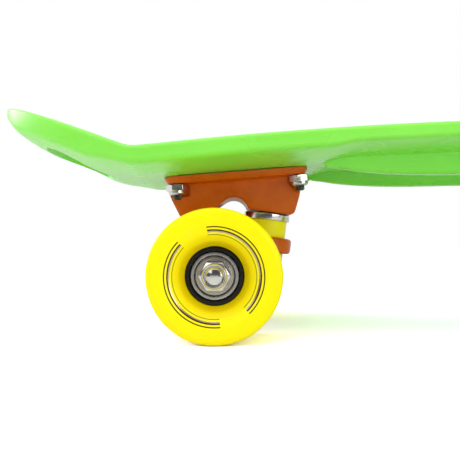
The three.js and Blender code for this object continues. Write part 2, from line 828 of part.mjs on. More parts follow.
function makeTyre() {
  const flat = 1 / Math.cos(Math.PI / tyreSides);
  const half = wheelWidth / 2;
  const tread = wheelRadius * flat;
  const profile = [
    [coreFlange + seatGap, coreFlangeWidth / 2 + seatGap],
    [coreRadius + seatGap, coreFlangeWidth / 2 + seatGap],
    [coreRadius + seatGap, coreHalf],
    [tyreFace, half - tyreDish],
    [tyreFace + tyreDish * 2, half],
  ];
  for (const share of [0, 1, 2]) {
    const turn = (share * Math.PI) / 4;
    const [out, up] = [Math.sin(turn) * tyreLip, Math.cos(turn) * tyreLip];
    profile.push([tread - tyreLip + out, half - tyreLip + up]);
  }
  return solid(revolve(bothSides(profile), tyreSides));
}

function makeCore() {
  const seat = bearingDiameter / 2 + pressGap;
  const shelf = spacerLength / 2 - pressGap;
  const profile = [
    [seat - bearingOuterWall, shelf],
    [seat, shelf],
    [seat, coreHalf],
    [coreRadius, coreHalf],
    [coreRadius, coreFlangeWidth / 2],
    [coreFlange, coreFlangeWidth / 2],
  ];
  return solid(revolve(bothSides(profile), coreSides));
}

const raceRadius = bearingBore / 2 + bearingInnerWall;

// A bearing's outer ring with its two shields, which leave a slit round the inner ring.
function makeBearing() {
  const outer = bearingDiameter / 2;
  const wall = outer - bearingOuterWall;
  const slit = raceRadius + seatGap;
  const half = bearingWidth / 2;
  const face = half - shieldSink;
  const profile = [[outer, half], [wall, half], [slit, face]];
  return solid(revolve(bothSides(profile), bearingSides));
}

// What is clamped on the axle: two inner rings, the spacer between and a speed ring at each end.
function makeStack() {
  const bore = bearingBore / 2 + pressGap;
  const end = hubHalf + speedRing - pressGap;
  const profile = [[bore, end], [raceRadius, end], [raceRadius, spacerLength / 2]];
  profile.push([bore + spacerWall, spacerLength / 2]);
  return solid(revolve(bothSides(profile), bearingSides));
}

function makeAxleNut() {
  const from = hubHalf + speedRing + pressGap;
  const to = from + axleNutHeight;
  const flat = axleNutAcross / 2;
  const corner = flat / Math.cos(Math.PI / hexSides);
  const cone = [[0, from], [corner, from], [corner, to - axleNutBevel]];
  cone.push([flat - axleNutBevel, to], [0, to]);
  const turned = solid(revolve(cone, pinSides));
  const hex = solid(geometryOf(hexPrism(axleNutAcross, from, to)).rotateX(-Math.PI / 2));
  const bore = axleDiameter / 2 + pressGap;
  const hole = revolve([[0, 0], [bore, 0], [bore, to + overrun], [0, to + overrun]], bearingSides);
  return hex.intersect(turned).subtract(solid(hole));
}

// Finishes

const finish = (color, roughness, metalness) =>
  new THREE.MeshStandardMaterial({ color, roughness, metalness });

const finishes = {
  deck: finish(0x6fe03a, 0.42, 0),
  truck: finish(0xc2560e, 0.35, 0.1),
  tyre: finish(0xfff000, 0.3, 0),
  bushing: finish(0xe0cf10, 0.4, 0),
  core: finish(0x101010, 0.4, 0),
  bolt: finish(0x141414, 0.35, 0.8),
  chrome: finish(0xd8dadc, 0.15, 1),
  shield: finish(0x8f8a72, 0.35, 0.9),
};

// Assembly

const board = new THREE.Group();

function piece(name, made, material, parent) {
  const mesh = new THREE.Mesh(geometryOf(made), material);
  mesh.name = name;
  parent.add(mesh);
  return mesh;
}

function fixed(matrix, parent) {
  const group = new THREE.Group();
  group.applyMatrix4(matrix);
  parent.add(group);
  return group;
}

const shapes = {
  baseplate: makeBaseplate(),
  hanger: makeHanger(),
  bolt: makeBolt(),
  lockNut: makeLockNut(),
  kingpin: makeKingpin(),
  kingpinNut: makeKingpinNut(),
  upperWasher: makeUpperWasher(),
  upperBushing: makeBushing(seatHeight, upperBushingTop),
  lowerBushing: makeBushing(lowerBushingEnd, -seatHeight),
  pivotCup: makePivotCup(),
  axle: makeAxle(),
  tyre: makeTyre(),
  core: makeCore(),
  bearing: makeBearing(),
  stack: makeStack(),
  axleNut: makeAxleNut(),
};

function addTruck(end, turned) {
  const truck = fixed(truckPlace(turned), board);
  piece(`${end}_baseplate`, shapes.baseplate, finishes.truck, truck);
  piece(`${end}_hanger`, shapes.hanger, finishes.truck, truck);
  for (const [corner, [x, y]] of Object.entries(boltPlaces(turned))) {
    for (const [kind, shape, look] of [["bolt", "bolt", "bolt"], ["nut", "lockNut", "chrome"]]) {
      const mesh = piece(`${end}_mount_${kind}_${corner}`, shapes[shape], finishes[look], truck);
      mesh.position.set(x, y, 0);
    }
  }
  const stem = fixed(kingpinPlace(), truck);
  piece(`${end}_kingpin`, shapes.kingpin, finishes.bolt, stem);
  piece(`${end}_kingpin_nut`, shapes.kingpinNut, finishes.chrome, stem);
  piece(`${end}_upper_washer`, shapes.upperWasher, finishes.chrome, stem);
  piece(`${end}_upper_bushing`, shapes.upperBushing, finishes.bushing, stem);
  piece(`${end}_lower_bushing`, shapes.lowerBushing, finishes.bushing, stem);
  piece(`${end}_pivot_cup`, shapes.pivotCup, finishes.core, fixed(pivotPlace(), truck));
}

// The axle's own place stays level, so that each tyre stands on the road.
function axleFrame(turned) {
  const frame = new THREE.Group();
  const x = turned ? 2 * wheelbaseCentre - rearAxleX : rearAxleX;
  frame.position.set(x, 0, wheelRadius);
  board.add(frame);
  return frame;
}

function addWheel(end, sideName, side, axleLine) {
  const wheel = new THREE.Group();
  wheel.position.set(0, side * wheelY, 0);
  if (side < 0) wheel.rotation.z = Math.PI;
  axleLine.add(wheel);
  const name = `${end}_${sideName}`;
  piece(`${name}_tyre`, shapes.tyre, finishes.tyre, wheel);
  piece(`${name}_core`, shapes.core, finishes.core, wheel);
  piece(`${name}_bearing_stack`, shapes.stack, finishes.chrome, wheel);
  piece(`${name}_axle_nut`, shapes.axleNut, finishes.chrome, wheel);
  for (const [place, away] of [["outer", 1], ["inner", -1]]) {
    const mesh = piece(`${name}_${place}_bearing`, shapes.bearing, finishes.shield, wheel);
    mesh.position.y = (away * (spacerLength + bearingWidth)) / 2;
  }
}

piece("deck", makeDeck(), finishes.deck, board);
for (const [end, turned] of [["rear", false], ["front", true]]) {
  addTruck(end, turned);
  const axleLine = axleFrame(turned);
  piece(`${end}_axle`, shapes.axle, finishes.chrome, axleLine);
  addWheel(end, "left", 1, axleLine);
  addWheel(end, "right", -1, axleLine);
}

export default board;
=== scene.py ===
# %% [markdown]
# # Cruiser skateboard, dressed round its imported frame
# The pieces that turn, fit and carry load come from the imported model, in metres, with the road
# at z = 0, the tail at -X and the nose at +X. This file gives each of them its finish. Where the
# frame's facets would show in a close view, a finer piece takes the node's place. It has the same
# size, to within half a millimetre.

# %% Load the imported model
import contextlib
import json
from math import atan, atan2, copysign, cos, hypot, pi, radians, sin, sqrt, tan, tau

import bmesh
import bpy
from mathutils import Matrix, Vector

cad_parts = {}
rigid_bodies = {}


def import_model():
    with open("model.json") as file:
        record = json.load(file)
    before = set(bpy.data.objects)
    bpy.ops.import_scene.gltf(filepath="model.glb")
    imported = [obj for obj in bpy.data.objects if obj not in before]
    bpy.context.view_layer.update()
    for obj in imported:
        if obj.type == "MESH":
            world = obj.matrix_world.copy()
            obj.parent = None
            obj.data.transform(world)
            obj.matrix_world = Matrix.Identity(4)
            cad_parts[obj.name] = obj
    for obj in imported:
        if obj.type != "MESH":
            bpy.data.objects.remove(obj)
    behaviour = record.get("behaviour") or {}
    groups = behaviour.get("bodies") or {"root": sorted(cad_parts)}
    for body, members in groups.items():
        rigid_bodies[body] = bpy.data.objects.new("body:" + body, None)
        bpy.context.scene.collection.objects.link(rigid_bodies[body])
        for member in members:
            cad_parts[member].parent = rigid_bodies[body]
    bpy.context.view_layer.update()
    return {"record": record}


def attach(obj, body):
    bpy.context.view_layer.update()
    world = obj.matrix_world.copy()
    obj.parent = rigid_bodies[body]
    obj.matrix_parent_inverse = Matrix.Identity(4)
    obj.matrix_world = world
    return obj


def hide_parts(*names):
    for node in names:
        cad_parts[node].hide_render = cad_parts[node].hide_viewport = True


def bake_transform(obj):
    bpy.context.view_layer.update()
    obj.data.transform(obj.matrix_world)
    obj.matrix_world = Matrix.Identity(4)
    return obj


for leftover in list(bpy.data.objects):
    bpy.data.objects.remove(leftover)
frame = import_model()
MM = 0.001
body_of_node = {name: body for body, names in frame["record"]["behaviour"]["bodies"].items()
                for name in names}


def add_object(name, data):
    made = bpy.data.objects.new(name, data)
    bpy.context.collection.objects.link(made)
    return made


def mm(x, y, z):
    return Vector((x, y, z)) * MM


def shift(x, y, z):
    return Matrix.Translation(mm(x, y, z))


# %% [markdown]
# ## Camera
# The photograph was taken close to the board, square to its side, with the lens a little above
# wheel height. A near camera makes the near wheel large beside the far parts, so the distance
# matters as much as the lens. The frame is moved by the lens shift, which leaves uprights upright.

# %% Place the camera
SENSOR = 36.0
IMAGE = 460.0
FOCAL_PX = 600.0
CAMERA_PLACE = (-0.1612, -0.330, 0.04425)
VANISH_PX = (230.0, 244.0)

camera = add_object("camera", bpy.data.cameras.new("camera"))
camera.location = CAMERA_PLACE
camera.rotation_euler = (radians(90), 0, 0)
camera.data.sensor_width = SENSOR
camera.data.lens = FOCAL_PX / IMAGE * SENSOR
camera.data.shift_x = (IMAGE / 2 - VANISH_PX[0]) / IMAGE
camera.data.shift_y = (VANISH_PX[1] - IMAGE / 2) / IMAGE
camera.data.clip_start = 0.01
bpy.context.scene.camera = camera
bpy.context.scene.view_settings.view_transform = "Standard"
print("lens", round(camera.data.lens, 1), "mm")

# %% [markdown]
# ## Studio
# The board stands on white paper under large soft lamps. The paper is bright to the camera and to
# mirror-like metal, but gives back only its share of light, so it still shows the soft shadow
# under the wheel. A dark band in the surroundings, seen only in reflections, draws the chrome.

# %% Shader helpers
def feed(tree, socket, value):
    """Joins an output or a node's first output to the socket, or writes a plain value."""
    if isinstance(value, bpy.types.Node):
        value = value.outputs[0]
    if isinstance(value, bpy.types.NodeSocket):
        tree.links.new(value, socket)
    else:
        socket.default_value = value


def node(tree, kind, inputs=None, **settings):
    made = tree.nodes.new(kind)
    for key, value in settings.items():
        setattr(made, key, value)
    for key, value in (inputs or {}).items():
        feed(tree, made.inputs[key], value)
    return made


def maths(tree, operation, *values, clamp=False):
    return node(tree, "ShaderNodeMath", dict(enumerate(values)), operation=operation,
                use_clamp=clamp)


def vector_maths(tree, operation, *values):
    return node(tree, "ShaderNodeVectorMath", dict(enumerate(values)), operation=operation).outputs


def remap(tree, value, low, high, to_low=0.0, to_high=1.0):
    return node(tree, "ShaderNodeMapRange", {
        "Value": value, "From Min": low, "From Max": high, "To Min": to_low, "To Max": to_high},
        interpolation_type="SMOOTHSTEP")


def ray_masks(tree):
    """One for rays from the camera, off gloss, and off gloss or through glass, else nought."""
    path = node(tree, "ShaderNodeLightPath").outputs
    beyond = maths(tree, "MAXIMUM", path["Is Glossy Ray"], path["Is Transmission Ray"])
    return path["Is Camera Ray"], path["Is Glossy Ray"], beyond


def cleared_tree(owner):
    owner.use_nodes = True
    owner.node_tree.nodes.clear()
    return owner.node_tree


# %% Floor and surroundings
FLOOR_HALF = 3.0
PAPER_GIVES_BACK = 0.86
PAPER_LOOKS = 2.0
PAPER_MIRRORED = 0.8
PAPER_CAST = (1.0, 0.93, 1.2)
SKY_STRENGTH = 0.64
DARK_ROOM = 0.10
DARK_FROM_BEHIND = (0.25, 0.6)
DARK_UP_TO = (0.42, 0.75)


def make_floor():
    mesh = bpy.data.meshes.new("studio_floor")
    corners = [(x * FLOOR_HALF, y * FLOOR_HALF, 0) for x, y in ((-1, -1), (1, -1), (1, 1), (-1, 1))]
    mesh.from_pydata(corners, [], [(0, 1, 2, 3)])
    floor = add_object("studio_floor", mesh)
    material = bpy.data.materials.new("white_paper")
    tree = cleared_tree(material)
    camera_ray, _, beyond = ray_masks(tree)
    share = maths(tree, "MULTIPLY_ADD", camera_ray, PAPER_LOOKS - PAPER_GIVES_BACK,
                  PAPER_GIVES_BACK)
    share = maths(tree, "MULTIPLY_ADD", beyond, PAPER_MIRRORED - PAPER_GIVES_BACK, share)
    tints = [maths(tree, "MULTIPLY_ADD", camera_ray, cast - 1.0, 1.0) for cast in PAPER_CAST]
    tones = [maths(tree, "MULTIPLY", share, tint) for tint in tints]
    tone = node(tree, "ShaderNodeCombineXYZ", dict(enumerate(tones)))
    paper = node(tree, "ShaderNodeBsdfDiffuse", {"Color": tone})
    node(tree, "ShaderNodeOutputMaterial", {"Surface": paper})
    mesh.materials.append(material)


def make_world():
    world = bpy.data.worlds.new("studio")
    bpy.context.scene.world = world
    tree = cleared_tree(world)
    camera_ray, glossy_ray, beyond = ray_masks(tree)
    way = node(tree, "ShaderNodeTexCoord").outputs["Generated"]
    apart = node(tree, "ShaderNodeSeparateXYZ", {0: way}).outputs
    behind = remap(tree, maths(tree, "MULTIPLY", apart["Y"], -1.0), *DARK_FROM_BEHIND)
    level = remap(tree, maths(tree, "ABSOLUTE", apart["Z"]), *DARK_UP_TO, 1.0, 0.0)
    dark = maths(tree, "MULTIPLY", maths(tree, "MULTIPLY", behind, level), glossy_ray)
    tone = maths(tree, "MULTIPLY_ADD", dark, DARK_ROOM - 1.0, 1.0)
    lit, shown = (node(tree, "ShaderNodeBackground", {"Color": (1, 1, 1, 1), "Strength": strength})
                  for strength in (SKY_STRENGTH, tone))
    seen = maths(tree, "MAXIMUM", camera_ray, beyond)
    mix = node(tree, "ShaderNodeMixShader", {0: seen, 1: lit, 2: shown})
    node(tree, "ShaderNodeOutputWorld", {"Surface": mix})


make_floor()
make_world()

# %% Lamps
def area_lamp(name, place, aim, size, power):
    lamp = add_object(name, bpy.data.lights.new(name, "AREA"))
    lamp.data.shape = "RECTANGLE"
    lamp.data.size, lamp.data.size_y = size
    lamp.data.energy = power
    lamp.location = place
    lamp.rotation_euler = (Vector(aim) - Vector(place)).to_track_quat("-Z", "Y").to_euler()


area_lamp("top_softbox", (-0.25, -0.15, 1.1), (-0.1, 0, 0.05), (1.2, 0.9), 5.4)
area_lamp("front_softbox", (-0.8, -0.95, 0.7), (-0.1, 0, 0.06), (0.9, 0.7), 2.8)
area_lamp("tail_softbox", (-0.95, 0.3, 0.42), (-0.26, 0, 0.1), (0.5, 0.45), 3.0)
area_lamp("side_softbox", (0.6, -0.8, 0.28), (-0.12, 0, 0.05), (0.7, 0.4), 2.8)

# %% [markdown]
# ## Shared shader groups
# Effects that several finishes need are kept as node groups with named inputs. They give back
# masks, values and normals only. A grain group lifts the surface like moulded plastic or a cast,
# a wear group finds convex edges, and a scratch group draws fine hairlines.

# %% Shader group helpers
def add_sockets(tree, way, *sockets):
    """Sockets as (name, kind), with a third entry where one starts from a value."""
    for label, kind, *value in sockets:
        socket = tree.interface.new_socket(label, in_out=way, socket_type="NodeSocket" + kind)
        if value:
            socket.default_value = value[0]


def new_group(name, inputs, outputs):
    """A shader group, what it is given and where its results go."""
    tree = bpy.data.node_groups.new(name, "ShaderNodeTree")
    add_sockets(tree, "INPUT", *inputs)
    add_sockets(tree, "OUTPUT", *outputs)
    given, out = tree.nodes.new("NodeGroupInput"), tree.nodes.new("NodeGroupOutput")
    return tree, given.outputs, out.inputs


def noise(tree, vector, scale, detail):
    return node(tree, "ShaderNodeTexNoise", {
        "Vector": vector, "Scale": scale, "Detail": detail, "Roughness": 0.55})


def blend_colours(tree, factor, first, second):
    made = node(tree, "ShaderNodeMix", {"Factor": factor}, data_type="RGBA")
    for socket, value in zip([s for s in made.inputs if s.type == "RGBA"], (first, second)):
        feed(tree, socket, value)
    return next(s for s in made.outputs if s.type == "RGBA")


# %% Grain, wear and scratch groups
WORN_EDGES, WORN_PATCHES = (0.52, 0.60), (0.45, 0.62)
SCRATCH_LINES, SCRATCH_PATCHES = (0.60, 0.68), (0.42, 0.66)


def make_grain_group():
    tree, given, out = new_group(
        "surface_grain",
        [("Vector", "Vector"), ("Pore Scale", "Float", 900.0), ("Wave Scale", "Float", 60.0),
         ("Pore Depth", "Float", 0.00001), ("Wave Depth", "Float", 0.00005)],
        [("Normal", "Vector"), ("Mottle", "Float")])
    pores = noise(tree, given["Vector"], given["Pore Scale"], 4.0)
    waves = noise(tree, given["Vector"], given["Wave Scale"], 2.0)
    height = maths(tree, "ADD", maths(tree, "MULTIPLY", pores, given["Pore Depth"]),
                   maths(tree, "MULTIPLY", waves, given["Wave Depth"]))
    feed(tree, out["Normal"], node(tree, "ShaderNodeBump", {"Distance": 1.0, "Height": height}))
    feed(tree, out["Mottle"], waves)
    return tree


def make_wear_group():
    tree, given, out = new_group(
        "edge_wear",
        [("Vector", "Vector"), ("Amount", "Float", 0.5), ("Breakup Scale", "Float", 220.0)],
        [("Mask", "Float")])
    edge = remap(tree, node(tree, "ShaderNodeNewGeometry").outputs["Pointiness"], *WORN_EDGES)
    broken = noise(tree, given["Vector"], given["Breakup Scale"], 5.0)
    both = maths(tree, "MULTIPLY", edge, remap(tree, broken, *WORN_PATCHES))
    feed(tree, out["Mask"], maths(tree, "MULTIPLY", both, given["Amount"], clamp=True))
    return tree


def make_scratch_group():
    tree, given, out = new_group(
        "hairline_scratches",
        [("Vector", "Vector"), ("Length Scale", "Float", 40.0),
         ("Amount", "Float", 0.5), ("Stretch", "Vector", (1.0, 30.0, 30.0))],
        [("Mask", "Float")])
    stretched = vector_maths(tree, "MULTIPLY", given["Vector"], given["Stretch"])[0]
    lines = noise(tree, stretched, given["Length Scale"], 2.0)
    patches = noise(tree, given["Vector"], given["Length Scale"], 2.0)
    both = maths(tree, "MULTIPLY", remap(tree, lines, *SCRATCH_LINES),
                 remap(tree, patches, *SCRATCH_PATCHES))
    feed(tree, out["Mask"], maths(tree, "MULTIPLY", both, given["Amount"], clamp=True))
    return tree


grain_group = make_grain_group()
wear_group = make_wear_group()
scratch_group = make_scratch_group()
print("groups:", [g.name for g in bpy.data.node_groups])

# %% [markdown]
# ## Finishes
# Each finish starts from Object coordinates, which stay with the piece when a joint turns it. The
# colour is broken up a little by the grain group, the roughness by scratches, and the normal by
# pores, so no surface is one flat value.

# %% Finish helper
SCRATCHES, MOTTLE = 0.4, (0.3, 0.7)
ROUGHER_BY_GRAIN, ROUGHER_BY_SCRATCH = 0.06, 0.25


def spaced(values):
    return {label.replace("_", " "): value for label, value in values.items()}


def use_group(tree, group, **values):
    """A group's outputs. An underscore in an input's name stands for a space."""
    return node(tree, "ShaderNodeGroup", spaced(values), node_tree=group).outputs


def make_finish(name, base, dark, worn, roughness, grain, wear=0.4, metallic=0.0, **extra):
    """Colours are base, mottle and worn edge. Grain is pore and wave scale, then their depths."""
    material = bpy.data.materials.new(name)
    material.use_nodes = True
    tree = material.node_tree
    place = node(tree, "ShaderNodeTexCoord").outputs["Object"]
    grain = dict(zip(("Pore_Scale", "Wave_Scale", "Pore_Depth", "Wave_Depth"), grain))
    pores = use_group(tree, grain_group, Vector=place, **grain)
    edges = use_group(tree, wear_group, Vector=place, Amount=wear)
    lines = use_group(tree, scratch_group, Vector=place, Amount=SCRATCHES)
    mottle = remap(tree, pores["Mottle"], *MOTTLE)
    body = blend_colours(tree, mottle, (*dark, 1), (*base, 1))
    rough = maths(tree, "MULTIPLY_ADD", mottle, ROUGHER_BY_GRAIN, roughness)
    looks = {"Base Color": blend_colours(tree, edges["Mask"], body, (*worn, 1)),
             "Roughness": maths(tree, "MULTIPLY_ADD", lines["Mask"], ROUGHER_BY_SCRATCH, rough),
             "Normal": pores["Normal"], "Metallic": metallic, **spaced(extra)}
    for label, value in looks.items():
        feed(tree, tree.nodes["Principled BSDF"].inputs[label], value)
    return material


# %% Plastic, paint and metal finishes
lime_plastic = make_finish(
    "lime_plastic", (0.255, 0.83, 0.08), (0.23, 0.78, 0.07), (0.40, 0.93, 0.2), 0.25,
    (700.0, 18.0, 0.000012, 0.00012), Subsurface_Weight=0.18, Subsurface_Scale=0.004,
    Specular_IOR_Level=0.38)
orange_paint = make_finish(
    "orange_paint", (0.64, 0.115, 0.003), (0.56, 0.095, 0.002), (0.72, 0.30, 0.12), 0.27,
    (500.0, 120.0, 0.00002, 0.00010), Specular_IOR_Level=0.16, Coat_Weight=0.08,
    Coat_Roughness=0.1)
black_plastic = make_finish(
    "black_plastic", (0.012, 0.011, 0.010), (0.006, 0.006, 0.006), (0.06, 0.06, 0.06), 0.33,
    (900.0, 90.0, 0.00001, 0.00003), Specular_IOR_Level=0.2)
bushing_rubber = make_finish(
    "bushing_rubber", (1.0, 0.86, 0.003), (0.95, 0.79, 0.002), (1.0, 0.9, 0.05), 0.3,
    (800.0, 80.0, 0.00001, 0.00005), wear=0.2, Subsurface_Weight=0.2, Subsurface_Scale=0.003,
    Specular_IOR_Level=0.2)
chrome = make_finish(
    "chrome", (0.72, 0.71, 0.69), (0.60, 0.59, 0.57), (0.85, 0.84, 0.82), 0.12,
    (1500.0, 150.0, 0.000004, 0.00003), metallic=1.0)
ground_steel = make_finish(
    "ground_steel", (0.46, 0.44, 0.40), (0.36, 0.34, 0.31), (0.70, 0.69, 0.66), 0.24,
    (2200.0, 200.0, 0.000005, 0.00002), metallic=1.0)
shield_steel = make_finish(
    "shield_steel", (0.37, 0.31, 0.15), (0.29, 0.24, 0.11), (0.62, 0.58, 0.44), 0.34,
    (2200.0, 160.0, 0.000006, 0.00003), metallic=1.0)
black_steel = make_finish(
    "black_steel", (0.014, 0.013, 0.013), (0.008, 0.008, 0.008), (0.30, 0.29, 0.28), 0.3,
    (1800.0, 200.0, 0.00001, 0.00003), wear=0.6, Coat_Weight=0.3, Coat_Roughness=0.2)
nylon = make_finish(
    "nylon_insert", (0.10, 0.13, 0.13), (0.07, 0.09, 0.09), (0.3, 0.3, 0.3), 0.4,
    (900.0, 90.0, 0.00001, 0.00003))
print("finishes:", [m.name for m in bpy.data.materials])

# %% [markdown]
# ## Shape helpers
# Turned parts are profiles spun round a line, with every corner rounded by a small arc, because a
# real machined or moulded edge always catches a thin line of light. Cast parts are made from
# overlapping closed shapes that are fused and softened, as sand or pressure casting softens them.

# %% Mesh helpers
NEARLY_STRAIGHT, SAME_PLACE = radians(176), 1e-9


@contextlib.contextmanager
def opened(mesh):
    """The mesh's points and faces, written back when the work is done."""
    shape = bmesh.new()
    shape.from_mesh(mesh)
    yield shape
    shape.to_mesh(mesh)
    shape.free()


def mesh_object(name, points, faces):
    mesh = bpy.data.meshes.new(name)
    mesh.from_pydata(points, [], faces)
    made = add_object(name, mesh)
    with opened(mesh) as shape:
        bmesh.ops.recalc_face_normals(shape, faces=shape.faces)
    shade_by_angle(made)
    return made


def shade_smooth(made):
    made.data.polygons.foreach_set("use_smooth", [True] * len(made.data.polygons))


def shade_by_angle(made, degrees=38):
    shade_smooth(made)
    made.data.set_sharp_from_angle(angle=radians(degrees))


def rounded(points, radius, steps=4):
    """The outline with each corner turned into an arc of at most this radius."""
    out = []
    for i, (x, y, *own) in enumerate(points):
        here = Vector((x, y))
        wanted = own[0] if own else radius
        to_before = Vector(points[i - 1][:2]) - here
        to_after = Vector(points[(i + 1) % len(points)][:2]) - here
        turn = to_before.angle(to_after, pi)
        short = min(to_before.length, to_after.length)
        if wanted == 0 or turn > NEARLY_STRAIGHT or short < SAME_PLACE:
            out.append((here.x, here.y))
            continue
        back = min(wanted / tan(turn / 2), short * 0.49)
        start = here + to_before.normalized() * back
        end = here + to_after.normalized() * back
        for k in range(steps + 1):
            t = k / steps
            point = start * (1 - t) ** 2 + here * 2 * t * (1 - t) + end * t ** 2
            out.append((point.x, point.y))
    return out


def lathe(name, profile, place, *finish, sides=96, corner=0.3, steps=4):
    """Spins a closed (radius, height) outline in mm round the z axis of place."""
    outline = rounded(profile, corner, steps)
    turns = [tau * side / sides for side in range(sides)]
    points = [place @ mm(radius * cos(turn), radius * sin(turn), height)
              for turn in turns for radius, height in outline]
    faces, count = [], len(outline)
    for side in range(sides):
        here, after = side * count, (side + 1) % sides * count
        for k in range(count):
            k2 = (k + 1) % count
            faces.append((here + k, after + k, after + k2, here + k2))
    made = mesh_object(name, points, faces)
    weld(made)
    return paint(made, *finish)


def weld(made, distance=1e-6):
    with opened(made.data) as shape:
        bmesh.ops.remove_doubles(shape, verts=shape.verts, dist=distance)
        bmesh.ops.dissolve_degenerate(shape, dist=distance / 2, edges=shape.edges)
        bmesh.ops.recalc_face_normals(shape, faces=shape.faces)
    shade_by_angle(made)


def ring_faces(rings, count):
    """Four-sided faces between rings of count points each."""
    return [(r * count + k, r * count + (k + 1) % count, (r + 1) * count + (k + 1) % count,
             (r + 1) * count + k) for r in range(rings - 1) for k in range(count)]


def loft(name, rings):
    """Joins rings of points, all of one length, into a closed skin."""
    count = len(rings[0])
    last = (len(rings) - 1) * count
    ends = [tuple(reversed(range(count))), tuple(range(last, last + count))]
    points = [point for ring in rings for point in ring]
    return mesh_object(name, points, ring_faces(len(rings), count) + ends)


def prism(name, outline, low, high, place, bevel=0.0):
    """Extrudes an (x, y) outline in mm from low to high along the z axis of place."""
    heights = [(low, bevel), (low + bevel, 0.0), (high - bevel, 0.0), (high, bevel)]
    if bevel == 0:
        heights = [(low, 0.0), (high, 0.0)]
    middle = sum((Vector(p) for p in outline), Vector((0, 0))) / len(outline)
    rings = []
    for height, inset in heights:
        ring = []
        for point in outline:
            arm = Vector(point) - middle
            spot = middle + arm * (1 - inset / max(arm.length, 1e-6))
            ring.append(place @ mm(spot.x, spot.y, height))
        rings.append(ring)
    return loft(name, rings)


def apply_modifiers(made):
    graph = bpy.context.evaluated_depsgraph_get()
    fresh = bpy.data.meshes.new_from_object(made.evaluated_get(graph))
    old = made.data
    made.modifiers.clear()
    made.data = fresh
    fresh.name = made.name
    bpy.data.meshes.remove(old)


def drop(made):
    mesh = made.data
    bpy.data.objects.remove(made)
    if mesh.users == 0:
        bpy.data.meshes.remove(mesh)


def boolean(made, tool, operation="DIFFERENCE"):
    change = made.modifiers.new("cut", "BOOLEAN")
    change.operation, change.solver, change.object = operation, "EXACT", tool
    apply_modifiers(made)
    drop(tool)


def drill(made, place, steps, sides=48):
    """Cuts a stepped bore: (radius, from, to) along the z axis of place."""
    for radius, low, high in steps:
        boolean(made, lathe("bore", [(0, low, 0), (radius, low, 0), (radius, high, 0),
                                     (0, high, 0)], place, sides=sides))


def join(first, *others):
    with opened(first.data) as shape:
        for made in others:
            shape.from_mesh(made.data)
    for made in others:
        drop(made)
    return first


def paint(made, *materials):
    made.data.materials.clear()
    for material in materials:
        made.data.materials.append(material)
    return made


def settle(made, slot, stands_for=None):
    """Puts a piece on its body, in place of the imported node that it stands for, if any."""
    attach(made, body_of_node.get(stands_for, "board"))
    if stands_for:
        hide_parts(stands_for)


def triangles(made):
    return sum(len(p.vertices) - 2 for p in made.data.polygons)


# %% [markdown]
# ## Deck
# One injection moulding: a thin skin with a thickened rim, a kicked tail, two long ribs and two
# pads for the trucks. The surface is laid out as rings inset from the outline, so the rounding of
# the rim runs evenly round both ends, and only the flat middle is bridged across.

# %% Deck surfaces
HALF_LENGTH = 280.0
HALF_WIDTH = 75.0
WHEELBASE_CENTRE = 12.0
HALF_WHEELBASE = 180.0
WAIST_TAPER = 8.0
TAIL_ROUND, NOSE_ROUND = 66.0, 86.0
TAIL_ROUND_POWER = 2.0
DECK_MID_HEIGHT = 98.5
CAMBER_DROP = 7.45
KICK_X = -206.2
KICK_BLEND = 2.5
KICK_ANGLE = radians(21)
NOSE_LIFT, NOSE_RUN = 12.0, 66.0
PAD_X = -157.5
PAD_HALF = 40.85
FRONT_PAD_X = 2 * WHEELBASE_CENTRE - PAD_X
PAD_THICKNESS = 11.0
STATIONS = 220


def camber_slope(x):
    return -2 * CAMBER_DROP * (x - WHEELBASE_CENTRE) / HALF_WHEELBASE ** 2


def deck_top(x):
    kept = max(x, KICK_X)
    arch = DECK_MID_HEIGHT - CAMBER_DROP * ((kept - WHEELBASE_CENTRE) / HALF_WHEELBASE) ** 2
    slope = camber_slope(KICK_X)
    straight = (x - kept) * slope
    bent = KICK_X - x
    kick = (tan(KICK_ANGLE) + slope) * (bent + hypot(bent, KICK_BLEND)) / 2
    lift = max(0.0, (x - HALF_LENGTH + NOSE_RUN) / NOSE_RUN)
    return arch + straight + kick + NOSE_LIFT * lift ** 2


DEPTH_KEYS = [
    (-HALF_LENGTH, 7.5), (-HALF_LENGTH + 16, 14.6), (KICK_X - 24, 14.6), (KICK_X, 10.4),
    (PAD_X + PAD_HALF, 10.4), (PAD_X + PAD_HALF + 12, 8.6), (FRONT_PAD_X - PAD_HALF - 12, 8.6),
    (FRONT_PAD_X - PAD_HALF, 10.4), (FRONT_PAD_X + PAD_HALF, 10.4), (HALF_LENGTH - 16, 9.4),
    (HALF_LENGTH, 7.5)]


def deck_depth(x):
    for (x0, d0), (x1, d1) in zip(DEPTH_KEYS, DEPTH_KEYS[1:]):
        if x <= x1:
            t = min(1.0, max(0.0, (x - x0) / (x1 - x0)))
            return d0 + (d1 - d0) * t * t * (3 - 2 * t)
    return DEPTH_KEYS[-1][1]


def deck_half_width(x):
    side = HALF_WIDTH - WAIST_TAPER * ((x - WHEELBASE_CENTRE) / (WHEELBASE_CENTRE - KICK_X)) ** 2
    tail = min(1.0, max(0.0, (TAIL_ROUND - HALF_LENGTH - x) / TAIL_ROUND))
    nose = min(1.0, max(0.0, (x - HALF_LENGTH + NOSE_ROUND) / NOSE_ROUND))
    tail_share = (1 - tail ** TAIL_ROUND_POWER) ** (1 / TAIL_ROUND_POWER)
    return side * tail_share * sqrt(max(0.0, 1 - nose * nose))


